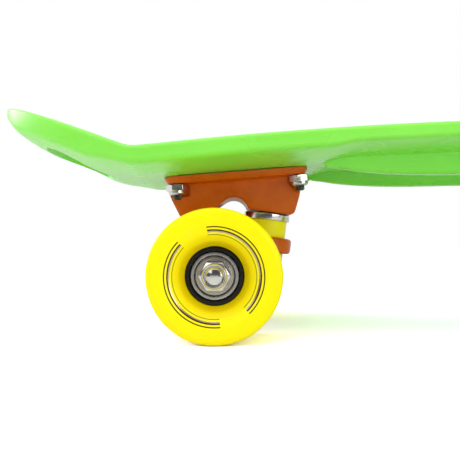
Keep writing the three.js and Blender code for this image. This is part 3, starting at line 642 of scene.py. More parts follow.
# Rings from the top round the rim and under it: (inset from the outline, depth below the top).
# The depth is in mm for the upper rings and a share of the deck's own depth for the lower ones.
UPPER_RINGS = [(9.0, 0.0), (3.2, 0.0), (1.9, 0.06), (1.0, 0.32), (0.42, 0.75), (0.1, 1.3),
               (0.0, 2.0), (0.0, 2.4)]
LOWER_RINGS = [(0.06, 0.56), (0.35, 0.62), (0.9, 0.68), (1.8, 0.735), (3.2, 0.775), (6.0, 0.815),
               (9.0, 0.848), (12.0, 0.88), (16.0, 0.92), (20.0, 0.955), (24.0, 0.985), (28.0, 1.0)]


def deck_ring(outline, normals, inset, down, share):
    ring = []
    for (x, y), (nx, ny) in zip(outline, normals):
        spot_x, spot_y = x - nx * inset, y - ny * inset
        ring.append(mm(spot_x, spot_y, deck_top(spot_x) - down - share * deck_depth(spot_x)))
    return ring


def deck_outline():
    along = [-HALF_LENGTH * cos(pi * k / STATIONS) for k in range(STATIONS + 1)]
    right = [(x, -deck_half_width(x)) for x in along]
    left = [(x, -y) for x, y in reversed(right[1:-1])]
    outline = right + left
    count = len(outline)
    normals = []
    for k in range(count):
        ahead, behind = outline[(k + 1) % count], outline[k - 1]
        run = Vector((ahead[0] - behind[0], ahead[1] - behind[1])).normalized()
        normals.append((run.y, -run.x))
    return outline, normals


def bridge_faces(start, flip):
    """Strips across a ring between its right half and its left half."""
    end = start + 2 * STATIONS
    faces = [(start, start + 1, end - 1)]
    faces += [(start + k, start + k + 1, end - k - 1, end - k) for k in range(1, STATIONS - 1)]
    faces.append((start + STATIONS - 1, start + STATIONS, start + STATIONS + 1))
    return [tuple(reversed(f)) for f in faces] if flip else faces


def make_deck_shell():
    outline, normals = deck_outline()
    rings = [deck_ring(outline, normals, inset, down, 0.0) for inset, down in UPPER_RINGS]
    rings += [deck_ring(outline, normals, inset, 0.0, share) for inset, share in LOWER_RINGS]
    count = len(outline)
    faces = ring_faces(len(rings), count) + bridge_faces(0, False)
    faces += bridge_faces((len(rings) - 1) * count, True)
    return mesh_object("deck_moulding", [p for ring in rings for p in ring], faces)


# %% Ribs and truck pads below the deck
RIB_FROM, RIB_TO, RIB_TAPER, RIB_STEPS = -114.7, 138.7, 70, 120
RIB_HALF, RIB_DROP, RIB_DRAFT, RIB_SUNK, RIB_OFFSET = 6.2, 10.2, 1.6, 0.8, 31.0
PAD_INSET, PAD_WIDTH, PAD_CORNER = 13.0, 50.0, 4.0
PAD_RINGS = ((3.0, 13.0), (0.62, 12.0), (0.54, 6.0), (0.46, 0.5), (0.2, 0.0), (0.0, 0.0))


def make_rib(side):
    rings = []
    for k in range(RIB_STEPS + 1):
        x = RIB_FROM + (RIB_TO - RIB_FROM) * k / RIB_STEPS
        u = min(1.0, (x - RIB_FROM) / RIB_TAPER, (RIB_TO - x) / RIB_TAPER)
        law = sqrt(max(0.0, 1 - (1 - u) ** 2))
        half = RIB_HALF * max(law, 0.03)
        root = deck_top(x) - deck_depth(x) + RIB_SUNK
        foot = root - RIB_SUNK - RIB_DROP * law
        draft = RIB_DRAFT * law
        profile = [(-half - 2.0 * law, root), (-half - 0.6 * law, root - 1.3 * law),
                   (-half, root - 3.4 * law), (-half + draft * 0.8, foot + 2.4 * law),
                   (-half + draft + 0.7 * law, foot + 0.8 * law),
                   (-half + draft + 2.2 * law, foot)]
        profile = profile + [(-y, z) for y, z in reversed(profile)]
        rings.append([mm(x, side * RIB_OFFSET + y, z) for y, z in profile])
    return loft("rib", rings)


def truck_place(front=False):
    """The truck's own frame: x along the board, z up, zero at the middle of the pad's face."""
    tilt = atan(camber_slope(PAD_X))
    height = deck_top(PAD_X) - PAD_THICKNESS * cos(tilt)
    place = shift(PAD_X, 0, height) @ Matrix.Rotation(-tilt, 4, "Y")
    if front:
        turn = shift(WHEELBASE_CENTRE, 0, 0) @ Matrix.Rotation(pi, 4, "Z")
        place = turn @ shift(-WHEELBASE_CENTRE, 0, 0) @ place
    return place


def rounded_box(length, width, corner, steps=6):
    half_x, half_y = length / 2, width / 2
    corners = [(-half_x, -half_y), (half_x, -half_y), (half_x, half_y), (-half_x, half_y)]
    return rounded(corners, corner, steps)


def make_pad(front):
    outline = rounded_box(2 * PAD_HALF - PAD_INSET, PAD_WIDTH, PAD_CORNER)
    place = truck_place(front)
    rings = []
    for height, grow in PAD_RINGS:
        arms = [Vector(point) * (1 + grow / Vector(point).length) for point in outline]
        rings.append([place @ mm(arm.x, arm.y, height) for arm in arms])
    return loft("pad", rings)


# %% [markdown]
# Bolt holes and the hollow under the tail are cut after the moulding is fused, the way core pins
# and a mould block leave them. The screw heads sit in shallow cones at the top.

# %% Deck cuts
BOLT_X, BOLT_Y, BOLT_BORE = 63.5, 41.3, 2.8
POCKET_FROM_TIP, POCKET_HALF_LENGTH, POCKET_HALF_WIDTH, POCKET_SIDES = 43.0, 17.5, 42, 64
POCKET_RINGS = ((-8.0, -3.0), (-8.3, -1.6), (-9.2, -0.7), (-10.6, -0.3), (-30.0, 1.4))


def bolt_grid():
    for sx in (-1, 1):
        for sy in (-1, 1):
            yield sx, sy, shift(sx * BOLT_X / 2, sy * BOLT_Y / 2, 0)


def bolt_places(front):
    place = truck_place(front)
    for sx, sy, spot in bolt_grid():
        yield sx, sy, place @ spot


def make_bolt_cutter(place):
    top = PAD_THICKNESS
    profile = [(0, -4, 0), (BOLT_BORE, -4), (BOLT_BORE, top - 3.1), (5.1, top - 0.4),
               (5.1, top + 6), (0, top + 6, 0)]
    return lathe("bolt_cutter", profile, place, sides=32, corner=0.2)


def make_pocket_cutter():
    x = -HALF_LENGTH + POCKET_FROM_TIP
    place = shift(x, 0, deck_top(x)) @ Matrix.Rotation(KICK_ANGLE, 4, "Y")
    turns = [tau * k / POCKET_SIDES for k in range(POCKET_SIDES)]
    return loft("pocket_cutter", [
        [place @ mm((POCKET_HALF_LENGTH + grow) * cos(t),
                    (POCKET_HALF_WIDTH + grow) * sin(t), depth) for t in turns]
        for depth, grow in POCKET_RINGS])


deck = make_deck_shell()
for piece in (make_rib(-1), make_rib(1), make_pad(False), make_pad(True)):
    boolean(deck, piece, "UNION")
boolean(deck, make_pocket_cutter())
for at_front in (False, True):
    for _, _, spot in bolt_places(at_front):
        boolean(deck, make_bolt_cutter(spot))
weld(deck)
settle(paint(deck, lime_plastic), "deck", "deck")
print("deck:", triangles(deck), "triangles")

# %% [markdown]
# The top of such a board carries a waffle grip, low rounded pads in rows that stop short of the
# rim. The photograph looks along the top and doesn't show them, so their pitch is a usual one.
# A node tree drops each place on to the deck by a ray, turns it to the surface and sets a pad on
# it. The places are plain points, so a hole or the rim only has to leave points out.

# %% Waffle grip node tree
def new_nodes(name, inputs):
    """A geometry tree with named inputs, what it is given and its socket identifiers."""
    tree = bpy.data.node_groups.new(name, "GeometryNodeTree")
    add_sockets(tree, "OUTPUT", ("Geometry", "Geometry"))
    add_sockets(tree, "INPUT", ("Geometry", "Geometry"), *inputs)
    sockets = {item.name: item.identifier for item in tree.interface.items_tree
               if item.item_type == "SOCKET" and item.in_out == "INPUT"}
    return tree, tree.nodes.new("NodeGroupInput").outputs, sockets


def finish_nodes(tree, geometry, finish):
    """Every tree ends alike: real geometry, one finish."""
    real = node(tree, "GeometryNodeRealizeInstances", {"Geometry": geometry})
    dressed = node(tree, "GeometryNodeSetMaterial", {"Geometry": real, "Material": finish})
    node(tree, "NodeGroupOutput", {"Geometry": dressed})


def bake_nodes(name, points, tree, sockets, **values):
    """Runs a node tree once on the points and keeps what it makes as a plain mesh."""
    holder = mesh_object(name, points, [])
    change = holder.modifiers.new("nodes", "NODES")
    change.node_group = tree
    for label, value in values.items():
        change[sockets[label]] = value
    apply_modifiers(holder)
    return holder


def make_grip_tree():
    tree, given, sockets = new_nodes("waffle_grip", [
        ("Deck", "Object"), ("Stud", "Object"), ("Sink", "Float", 0.0001),
        ("Finish", "Material")])
    deck_in, stud_in = (node(tree, "GeometryNodeObjectInfo", {"Object": given[label]}).outputs
                        for label in ("Deck", "Stud"))
    down = node(tree, "GeometryNodeRaycast", {
        "Target Geometry": deck_in["Geometry"], "Ray Direction": (0, 0, -1),
        "Ray Length": 1.0}).outputs
    lower = node(tree, "ShaderNodeVectorMath", {
        0: down["Hit Normal"], "Scale": maths(tree, "MULTIPLY", given["Sink"], -1.0)},
        operation="SCALE")
    place = vector_maths(tree, "ADD", down["Hit Position"], lower)[0]
    keep = node(tree, "GeometryNodeCaptureAttribute", domain="POINT")
    keep.capture_items.new("VECTOR", "Facing")
    feed(tree, keep.inputs["Geometry"], given["Geometry"])
    feed(tree, keep.inputs["Facing"], down["Hit Normal"])
    seat = node(tree, "GeometryNodeSetPosition", {"Geometry": keep, "Position": place})
    turned = node(tree, "FunctionNodeAlignRotationToVector", {"Vector": keep.outputs["Facing"]},
                  axis="Z")
    studs = node(tree, "GeometryNodeInstanceOnPoints", {
        "Points": seat, "Instance": stud_in["Geometry"], "Rotation": turned})
    finish_nodes(tree, studs, given["Finish"])
    return tree, sockets


# %% Lay the waffle grip
GRIP_PITCH, GRIP_STUD, GRIP_HEIGHT = 9.5, 6.6, 0.7
GRIP_MARGIN, SCREW_ROOM = 11.0, 9.0
ABOVE_DECK = 200.0


def grip_points():
    screws = [spot.translation / MM for at_front in (False, True)
              for _, _, spot in bolt_places(at_front)]
    along, across = int(HALF_LENGTH / GRIP_PITCH), int(HALF_WIDTH / GRIP_PITCH)
    for i in range(-along, along + 1):
        for j in range(-across, across + 1):
            x, y = i * GRIP_PITCH, j * GRIP_PITCH
            near = [abs(y) + GRIP_MARGIN <= deck_half_width(x + way * GRIP_MARGIN)
                    for way in (-1, 1) if abs(x + way * GRIP_MARGIN) < HALF_LENGTH]
            clear = all(hypot(x - s.x, y - s.y) > SCREW_ROOM for s in screws)
            if len(near) == 2 and all(near) and clear:
                yield mm(x, y, ABOVE_DECK)


def lay_grip():
    stud = prism("stud", rounded_box(GRIP_STUD, GRIP_STUD, 1.6, 2), -0.5, GRIP_HEIGHT,
                 Matrix.Identity(4), bevel=0.4)
    points = list(grip_points())
    grip = bake_nodes("deck_grip", points, *make_grip_tree(), Deck=deck, Stud=stud,
                      Finish=lime_plastic)
    shade_by_angle(grip, 25)
    drop(stud)
    print("grip:", len(points), "pads,", triangles(grip), "triangles")
    settle(paint(grip, lime_plastic), "deck")


lay_grip()

# %% [markdown]
# ## Wheels
# The tyre is cast urethane round a stiff plastic core. Its side falls in a smooth cone to the core,
# which darkens towards the middle because less light gets down there, a shade painted into the
# yellow. A pad-printed foil ring runs round each outer face in two arcs. Each tyre carries a small
# map of its own face, measured from the wheel's centre, so one finish draws the ring on all four
# wheels wherever they stand.

# %% Printed ring group
ARC_STARTS, ARC_HALVES = (206.4, 206.5), (72.4, 70.5)


def make_ring_group():
    tree, given, out = new_group(
        "printed_ring",
        [("Place", "Vector"), ("Radius", "Float", 20.0), ("Half Width", "Float", 0.2),
         ("Softness", "Float", 0.06)],
        [("Mask", "Float")])
    apart = node(tree, "ShaderNodeSeparateXYZ", {0: given["Place"]}).outputs
    reach = vector_maths(tree, "LENGTH", given["Place"])["Value"]
    off = maths(tree, "ABSOLUTE", maths(tree, "SUBTRACT", reach, given["Radius"]))
    over = maths(tree, "SUBTRACT", off, given["Half Width"])
    line = maths(tree, "SUBTRACT", 1.0, maths(tree, "DIVIDE", over, given["Softness"]), clamp=True)
    degrees = maths(tree, "DEGREES", maths(tree, "ARCTAN2", apart["Y"], apart["X"]))
    turn = maths(tree, "FLOORED_MODULO", degrees, 360.0)
    from_first = maths(tree, "SUBTRACT", turn, ARC_STARTS[0])
    first = maths(tree, "COMPARE", maths(tree, "FLOORED_MODULO", from_first, 360.0), 180.0,
                  ARC_HALVES[0])
    second = maths(tree, "COMPARE", turn, ARC_STARTS[1], ARC_HALVES[1])
    feed(tree, out["Mask"], maths(tree, "MULTIPLY", line, maths(tree, "MAXIMUM", first, second)))
    return tree


ring_group = make_ring_group()

# %% Tyre finish
FACE_MAP_SPAN = 100.0
INK = (0.045, 0.018, 0.008, 1)
FOIL = (0.52, 0.43, 0.22, 1)
# Painted shade: a darker yellow and how far it reaches from the core, standing in for the shade in
# the dish.
PAINTED_SHADE_YELLOW = (0.80, 0.55, 0.0, 1)
PAINTED_SHADE_REACH = (13.0, 19.5, 0.75, 0.0)
RING_LINES = ((21.7, 0.2), (20.3, 0.24), (19.75, 0.36), (18.35, 0.13))
FAINT_INK, FOIL_METAL, FOIL_GLOSS, LINE_SOFTNESS = 0.7, 0.9, -0.12, 0.12


def make_tyre_finish():
    material = make_finish(
        "yellow_urethane", (1.0, 0.87, 0.0), (0.97, 0.82, 0.0), (1.0, 0.9, 0.15), 0.32,
        (600.0, 25.0, 0.00001, 0.00006), wear=0.15, Subsurface_Weight=0.25,
        Subsurface_Scale=0.004, Specular_IOR_Level=0.14)
    tree = material.node_tree
    looks = tree.nodes["Principled BSDF"].inputs
    body, rough = (looks[label].links[0].from_socket for label in ("Base Color", "Roughness"))
    chart = node(tree, "ShaderNodeUVMap", uv_map="wheel_face")
    place = vector_maths(tree, "MULTIPLY_ADD", chart, (FACE_MAP_SPAN,) * 3,
                         (-FACE_MAP_SPAN / 2, -FACE_MAP_SPAN / 2, 0))[0]
    reach = vector_maths(tree, "LENGTH", place)["Value"]
    # Painted shade: the yellow darkens towards the core, where less light gets down into the dish.
    body = blend_colours(tree, remap(tree, reach, *PAINTED_SHADE_REACH), body, PAINTED_SHADE_YELLOW)
    outer, edge, foil, inner = (
        use_group(tree, ring_group, Place=place, Radius=radius, Half_Width=half,
                  Softness=LINE_SOFTNESS)["Mask"] for radius, half in RING_LINES)
    faint = maths(tree, "MULTIPLY", inner, FAINT_INK)
    ink = maths(tree, "MAXIMUM", maths(tree, "MAXIMUM", outer, edge), faint)
    foiled = blend_colours(tree, foil, body, FOIL)
    feed(tree, looks["Base Color"], blend_colours(tree, ink, foiled, INK))
    feed(tree, looks["Metallic"], maths(tree, "MULTIPLY", foil, FOIL_METAL))
    feed(tree, looks["Roughness"], maths(tree, "MULTIPLY_ADD", foil, FOIL_GLOSS, rough))
    return material


yellow_urethane = make_tyre_finish()

# %% Wheel sizes and shapes
WHEEL_Y = 51.0
WHEEL_RADIUS = 30.0
AXLE_X = {"rear": -168.0, "front": 2 * WHEELBASE_CENTRE + 168.0}
HUB_HALF = 12.0
BEARING_AWAY = 8.5
TYRE = [(17.3, 7.3), (13.3, 7.3, 0.1), (13.3, 12.9, 0.4), (13.9, 13.8, 0.5), (15.6, 17.6, 4.0),
        (18.9, 20.9, 5.0), (22.9, 22.5, 4.0), (30.0, 22.5, 9.0)]
CORE = [(9.65, 4.85), (11.15, 4.85, 0.1), (11.15, 13.1, 0.1), (11.5, 13.5, 0.2),
        (12.75, 13.5, 0.3), (13.0, 13.1, 0.2), (13.0, 7.0, 0.2), (17.0, 7.0, 0.6)]
SPACERS = [(4.15, 12.85, 0.15), (5.7, 12.85, 0.2), (5.7, 12.1, 0.1), (5.7, 5.0, 0.2),
           (5.15, 5.0, 0.2)]
ACROSS = Matrix.Rotation(radians(-90), 4, "X")


def wheel_place(end, side):
    """Its z axis runs outwards along the axle, from the middle of the wheel."""
    turn = ACROSS if side > 0 else Matrix.Rotation(pi, 4, "Z") @ ACROSS
    return shift(AXLE_X[end], side * WHEEL_Y, WHEEL_RADIUS) @ turn


def mirrored(half):
    return half + [(p[0], -p[1], *p[2:]) for p in reversed(half)]


def map_wheel_face(made, end, side):
    chart = made.data.uv_layers.new(name="wheel_face")
    for face in made.data.polygons:
        outside = face.center.y * side > WHEEL_Y * MM
        for corner in face.loop_indices:
            spot = made.data.vertices[made.data.loops[corner].vertex_index].co
            across = -side * (spot.x / MM - AXLE_X[end])
            up = spot.z / MM - WHEEL_RADIUS
            if not outside:
                across = up = 0.0
            chart.data[corner].uv = (across / FACE_MAP_SPAN + 0.5, up / FACE_MAP_SPAN + 0.5)


def join_painted(name, first, *others):
    """One object from several closed shapes that keep their own finishes."""
    looks = list(dict.fromkeys(made.data.materials[0] for made in (first, *others)))
    with opened(first.data) as shape:
        for made in others:
            before = len(shape.faces)
            shape.from_mesh(made.data)
            shape.faces.ensure_lookup_table()
            for face in shape.faces[before:]:
                face.material_index = looks.index(made.data.materials[0])
            drop(made)
    first.name = first.data.name = name
    return paint(first, *looks)


# %% [markdown]
# The bearings are shielded 608s: a ground outer ring, an inner ring, and on each side a stamped
# shield with a raised shoulder, which hides the balls. A crimp groove holds each shield, and it
# reads as the dark line round it.

# %% Bearings, spacer stack and nuts
SHIELD = ((5.95, 2.95), (5.95, 3.15), (6.5, 3.22), (7.5, 3.22), (7.75, 3.08), (8.55, 3.08),
          (8.75, 2.9), (9.05, 2.75), (9.05, 2.45), (8.5, 2.6), (7.6, 2.7), (6.4, 2.85))
AXLE_NUT_ACROSS, AXLE_NUT_HEIGHT, AXLE_NUT_GAP, AXLE_BORE = 12.2, 4.9, 1.15, 4.15
CHAMFER_INSET, CHAMFER_SLOPE = 0.15, radians(30)


def make_bearing(name, place):
    outer = [(11.0, 3.5, 0.5), (9.35, 3.5, 0.15), (9.15, 3.2, 0.1), (9.15, 2.0, 0.1),
             (9.6, 0.9, 0.4)]
    inner = [(4.15, 3.5, 0.35), (5.7, 3.5, 0.15), (5.75, 3.2, 0.1), (6.0, 0.9, 0.3)]
    rings = [lathe("outer", mirrored(outer), place, ground_steel, sides=96),
             lathe("inner", mirrored(inner), place, ground_steel, sides=72)]
    shields = [lathe("shield", [(r, way * z) for r, z in SHIELD], place, shield_steel,
                     sides=72, corner=0.12) for way in (1, -1)]
    return join_painted(name, *rings, *shields)


def hexagon_reach(across):
    return across / 2 / cos(pi / 6)


def hexagon(across, corner=0.35):
    reach = hexagon_reach(across)
    points = [(reach * cos(tau * k / 6), reach * sin(tau * k / 6))
              for k in range(6)]
    return rounded(points, corner, 3)


def make_nut_body(across, low, high, place, bore, sides=48):
    """A bored hexagon. A cone at each end turns it down, which leaves the curved corners."""
    body = prism("nut", hexagon(across), low, high, place)
    wide = hexagon_reach(across) + 1
    flat = across / 2 - CHAMFER_INSET
    fall = (wide - flat) * tan(CHAMFER_SLOPE)
    cone = [(0, low, 0), (flat, low, 0), (wide, low + fall, 0), (wide, high - fall, 0),
            (flat, high, 0), (0, high, 0)]
    boolean(body, lathe("cone", cone, place, sides=96, corner=0), "INTERSECT")
    drill(body, place, [bore], sides=sides)
    weld(body)
    return paint(body, chrome)


def make_axle_nut(name, place):
    low = HUB_HALF + AXLE_NUT_GAP
    body = make_nut_body(AXLE_NUT_ACROSS, low, low + AXLE_NUT_HEIGHT, place,
                         (AXLE_BORE, low - 2, low + 9), sides=64)
    collar = [(4.3, low + 3, 0), (5.7, low + 3, 0), (5.7, low + 5.3, 0.5), (5.1, low + 6.0, 0.4),
              (4.75, low + 5.9, 0.2), (4.3, low + 5.2, 0.1)]
    insert = [(4.15, low + 3.2), (4.8, low + 3.2), (4.8, low + 5.5), (4.15, low + 5.5)]
    return join_painted(name, body, lathe("collar", collar, place, chrome, sides=72),
                        lathe("insert", insert, place, nylon, sides=64, corner=0.15))


def build_wheel(end, side_name, side):
    label = f"{end}_{side_name}"
    place = wheel_place(end, side)
    tyre = lathe(f"{label}_urethane", mirrored(TYRE), place, yellow_urethane, sides=160, steps=14)
    map_wheel_face(tyre, end, side)
    settle(tyre, "tyre", f"{label}_tyre")
    core = lathe(f"{label}_hub", mirrored(CORE), place, black_plastic, sides=128)
    settle(core, "black_plastic", f"{label}_core")
    for where, away in (("outer", BEARING_AWAY), ("inner", -BEARING_AWAY)):
        bearing = make_bearing(f"{label}_{where}_race", place @ shift(0, 0, away))
        settle(bearing, "bearing_steel", f"{label}_{where}_bearing")
    stack = lathe(f"{label}_spacers", mirrored(SPACERS), place, chrome, sides=64)
    settle(stack, "chrome", f"{label}_bearing_stack")
    nut = make_axle_nut(f"{label}_lock_nut", place)
    settle(nut, "chrome", f"{label}_axle_nut")
    return sum(triangles(made) for made in (tyre, core, stack, nut))


for end in ("rear", "front"):
    for side_name, side in (("left", 1), ("right", -1)):
        print(end, side_name, "wheel:", build_wheel(end, side_name, side), "triangles")

# %% [markdown]
# ## Trucks
# Both trucks are the same, turned end for end, so each shape is made once in the truck's own frame
# (x along the board, z up, zero at the pad face) and then set down twice. The castings are fused
# from simple closed shapes, softened, and only then drilled, in the order a foundry works in.

# %% Truck frame and copies
UPRIGHT = Matrix.Identity(4)
LEAN = radians(11.2)
RING_X, RING_Z = 11.83, -37.72
PIVOT_X, PIVOT_Z = -20.2, -14.9
PIVOT_ANGLE = atan2(-(RING_X - PIVOT_X), PIVOT_Z - RING_Z)
PIVOT_REACH = hypot(RING_X - PIVOT_X, PIVOT_Z - RING_Z)
SOFTENING_VOXEL = 0.00055

kingpin_place = shift(RING_X, 0, RING_Z) @ Matrix.Rotation(LEAN, 4, "Y")
pivot_place = shift(PIVOT_X, 0, PIVOT_Z) @ Matrix.Rotation(PIVOT_ANGLE, 4, "Y")
axle_at = truck_place().inverted() @ mm(AXLE_X["rear"], 0, WHEEL_RADIUS)
print("axle in the truck frame, mm:", [round(v / MM, 2) for v in axle_at])


def set_down(made, name, place):
    fresh = add_object(name, made.data.copy())
    fresh.data.name = name
    fresh.data.transform(place)
    return fresh


def set_both(made, shape_name, slot, node_name):
    """Puts a truck shape at both ends for the nodes rear_/front_ + node_name."""
    for end in ("rear", "front"):
        fresh = set_down(made, f"{end}_{shape_name}", truck_place(end == "front"))
        settle(fresh, slot, f"{end}_{node_name}")
    print(shape_name, triangles(made), "triangles each")
    drop(made)


def soften(made, rounds=8):
    """Fuses overlapping closed shapes and rounds their edges and roots like a casting."""
    fuse = made.modifiers.new("fuse", "REMESH")
    fuse.mode = "VOXEL"
    fuse.voxel_size = SOFTENING_VOXEL
    ease = made.modifiers.new("ease", "SMOOTH")
    ease.factor = 0.5
    ease.iterations = rounds
    apply_modifiers(made)
    shade_smooth(made)


def hull(name, points):
    mesh = bpy.data.meshes.new(name)
    with opened(mesh) as shape:
        for point in points:
            shape.verts.new(point)
        made = bmesh.ops.convex_hull(shape, input=shape.verts)
        inner = [v for v in made["geom_interior"] if isinstance(v, bmesh.types.BMVert)]
        bmesh.ops.delete(shape, geom=inner, context="VERTS")
    return add_object(name, mesh)


# %% Baseplate
BASE_LENGTH, BASE_WIDTH, FLANGE, BASE_SHIFT = 73.7, 55.0, 3.5, 0.7
ARCH_CENTRE, ARCH_HEIGHT, ARCH_RADIUS, ARCH_SLOPE = 3.0, 11.9, 7.4, radians(31.5)
LEG_REACH, LEG_KNEE, LEG_FOOT, LEG_DROP, LEG_TIP = 36.3, 8.4, 29.0, 25.8, 4.0
BLOCK_END, BLOCK_FOOT, BLOCK_HALF, BLOCK_ABOVE_RING = 33.4, 28.6, 17.34, 17.0
ARCH_STEPS, ARCH_END, BLOCK_DRAFT, BLOCK_CHAMFER, BLOCK_KNEE = 24, 0.2, 5.0, 0.44, 9.4
NUT_ROOM_MIDDLE, NUT_ROOM_HALF, NUT_ROOM_REACH, NUT_ROOM_END, NUT_DRUM = 22.0, 8.5, 5.95, 40.0, 9.8
KINGPIN_BORE, HEAD_BORE, PIVOT_BORE, MILLED_SPAN = 4.9, 8.0, 7.15, 200.0


def base_face(x):
    """Height of the slanted face that the kingpin's washer bears on."""
    face_x = RING_X + BLOCK_ABOVE_RING * sin(LEAN)
    face_z = RING_Z + BLOCK_ABOVE_RING * cos(LEAN)
    return face_z - (x - face_x) * tan(LEAN)


def base_outline():
    arch_low = -ARCH_HEIGHT - ARCH_RADIUS
    left_x = -ARCH_CENTRE - ARCH_RADIUS * sin(ARCH_SLOPE)
    left_z = arch_low + ARCH_RADIUS * cos(ARCH_SLOPE)
    toe_x = LEG_TIP - LEG_FOOT
    toe_z = left_z - (left_x - toe_x) * tan(ARCH_SLOPE)
    outline = [(-LEG_REACH, 0), (-LEG_REACH, -LEG_KNEE), (-LEG_FOOT - 0.8, -LEG_DROP + 1.2),
               (-LEG_FOOT + 0.6, -LEG_DROP), (toe_x, toe_z)]
    start = pi / 2 + ARCH_SLOPE
    for k in range(ARCH_STEPS + 1):
        turn = start + (ARCH_END - start) * k / ARCH_STEPS
        outline.append((-ARCH_CENTRE + ARCH_RADIUS * cos(turn),
                        arch_low + ARCH_RADIUS * sin(turn)))
    right_x = ARCH_RADIUS - ARCH_CENTRE
    foot = base_face(BLOCK_FOOT)
    return outline + [
        (right_x + 1.5, base_face(right_x)), (BLOCK_FOOT - 2, base_face(BLOCK_FOOT - 2)),
        (BLOCK_FOOT, foot + 1), (BLOCK_FOOT + 1, foot + 3), (BLOCK_END, -BLOCK_KNEE),
        (BLOCK_END, 0)]


def make_base_block():
    rings = []
    flat = BLOCK_HALF - BLOCK_CHAMFER
    for across in (-BLOCK_HALF, -flat, flat, BLOCK_HALF):
        ring = []
        for x, z in base_outline():
            draft = BLOCK_DRAFT * max(0.0, -z - FLANGE) / (LEG_DROP - FLANGE)
            ring.append(mm(x, copysign(abs(across) - draft, across), z))
        rings.append(ring)
    return loft("base_block", rings)


def make_flange():
    rings = []
    for height, inset in ((-FLANGE, 1.9), (-FLANGE + 0.6, 1.0), (-FLANGE + 1.8, 0.4), (-0.6, 0.0),
                          (1.4, 0.0)):
        outline = rounded_box(BASE_LENGTH - 2 * inset, BASE_WIDTH - 2 * inset, 7.0 - inset, 8)
        rings.append([mm(x - BASE_SHIFT, y, height) for x, y in outline])
    return loft("flange", rings)


def nut_room_cutters():
    """Room for a spanner round each of the four mounting nuts."""
    near, half = -BOLT_X / 2 + NUT_ROOM_REACH, NUT_ROOM_HALF
    for middle in (-NUT_ROOM_MIDDLE, NUT_ROOM_MIDDLE):
        outline = [(-NUT_ROOM_END, middle - half), (near, middle - half), (near, middle + half),
                   (-NUT_ROOM_END, middle + half)]
        yield prism("nut_room", outline, -BLOCK_KNEE, -FLANGE, UPRIGHT)
        across = shift(BASE_LENGTH / 2 - BASE_SHIFT, middle, -FLANGE) @ ACROSS
        drum = [(0, -half, 0), (NUT_DRUM, -half, 0), (NUT_DRUM, half, 0), (0, half, 0)]
        yield lathe("nut_drum", drum, across, sides=48)


def make_baseplate():
    made = make_base_block()
    for cutter in nut_room_cutters():
        boolean(made, cutter)
    join(made, make_flange())
    soften(made)
    over = rounded_box(MILLED_SPAN, MILLED_SPAN, 1.0)
    boolean(made, prism("milled_top", over, 0.0, 9.0, UPRIGHT))
    drill(made, kingpin_place, [(KINGPIN_BORE, 0, 34), (HEAD_BORE, 28.1, 45)])
    drill(made, pivot_place, [(PIVOT_BORE, -PIVOT_REACH / 2, 6.7)])
    for _, _, spot in bolt_grid():
        drill(made, spot, [(BOLT_BORE, -LEG_DROP, 3)], sides=32)
    return paint(made, orange_paint)


set_both(make_baseplate(), "baseplate_casting", "truck", "baseplate")

# %% [markdown]
# The hanger carries the axle below and behind the kingpin. Its nose ends in a ball that sits in a
# plastic cup in the baseplate, and its ring is squeezed between two bushings. A web and two wings
# spread the load from the ring to the beam.

# %% Hanger
HANGER_HALF = 38.0
RING_RADIUS, RING_RIM, RING_HALF, SEAT_RADIUS = 15.3, 14.9, 4.25, 11.85
BEAM_RADIUS, BEAM_MIDDLE_RADIUS = 8.6, 10.4
WING_HALF_AT_BEAM, WING_HALF_AT_RING = 26.0, 11.5
BALL_RADIUS, NOSE_ROOT = 4.5, 18.25


def bar_points(middle, radius, half_width, sides=24):
    for k in range(sides):
        turn = tau * k / sides
        for y in (-half_width, half_width):
            yield mm(middle.x + radius * cos(turn), y, middle.z + radius * sin(turn))


def make_nose():
    turns = [radians(13) * k for k in range(1, 9)]
    ball = [(BALL_RADIUS * sin(turn), BALL_RADIUS * cos(turn), 0) for turn in turns]
    end = RING_RADIUS - PIVOT_REACH
    profile = [(0, BALL_RADIUS, 0), *ball, (4.2, -9.6, 2), (6.5, -15.0, 3), (6.5, end, 0),
               (0, end, 0)]
    return lathe("nose", profile, pivot_place, sides=48)


def make_hanger_body():
    left = kingpin_place @ mm(-RING_RADIUS * 0.6, 0, 0) / MM
    root = pivot_place @ mm(0, 0, -NOSE_ROOT) / MM
    axle = axle_at / MM
    web = [*bar_points(left, RING_HALF, 6.0), *bar_points(axle, 9.4, 6.0),
           *bar_points(root, 5.5, 3.0)]
    wing = [*bar_points(left, 3.45, WING_HALF_AT_RING), *bar_points(axle, 5.5, WING_HALF_AT_BEAM)]
    return hull("web", web), hull("wing", wing)


def make_hanger():
    ring = [(0, -RING_HALF, 0), (12.6, -RING_HALF, 0.8), (RING_RIM, -RING_HALF + 0.4, 1.2)]
    beam = [(0, -HANGER_HALF, 0), (BEAM_RADIUS, -HANGER_HALF, 1.2), (BEAM_RADIUS, -27.0, 6),
            (BEAM_MIDDLE_RADIUS, -6.0, 6)]
    axle_line = Matrix.Translation(axle_at) @ ACROSS
    made = lathe("ring", mirrored(ring), kingpin_place, sides=96)
    join(made, make_nose(), *make_hanger_body(),
         lathe("beam", mirrored(beam), axle_line, sides=64))
    soften(made, rounds=12)
    drill(made, kingpin_place, [(SEAT_RADIUS, -20, -3.25), (6.4, -5, 5), (SEAT_RADIUS, 3.25, 20)],
          sides=64)
    drill(made, axle_line, [(AXLE_BORE, -45, 45)])
    return paint(made, orange_paint)


set_both(make_hanger(), "hanger_casting", "truck", "hanger")

# %% [markdown]
# ## Threads
# Kingpins, axles and screws have real rolled threads. A node tree winds a helix of the wanted
# length and sweeps a small tooth along it, which is kept as a plain mesh with the rod inside it.
# The tooth is drawn once, and length, radius and pitch are inputs, so all threads share the tree.

# %% Thread node tree
TOOTH_SHARE = 0.42


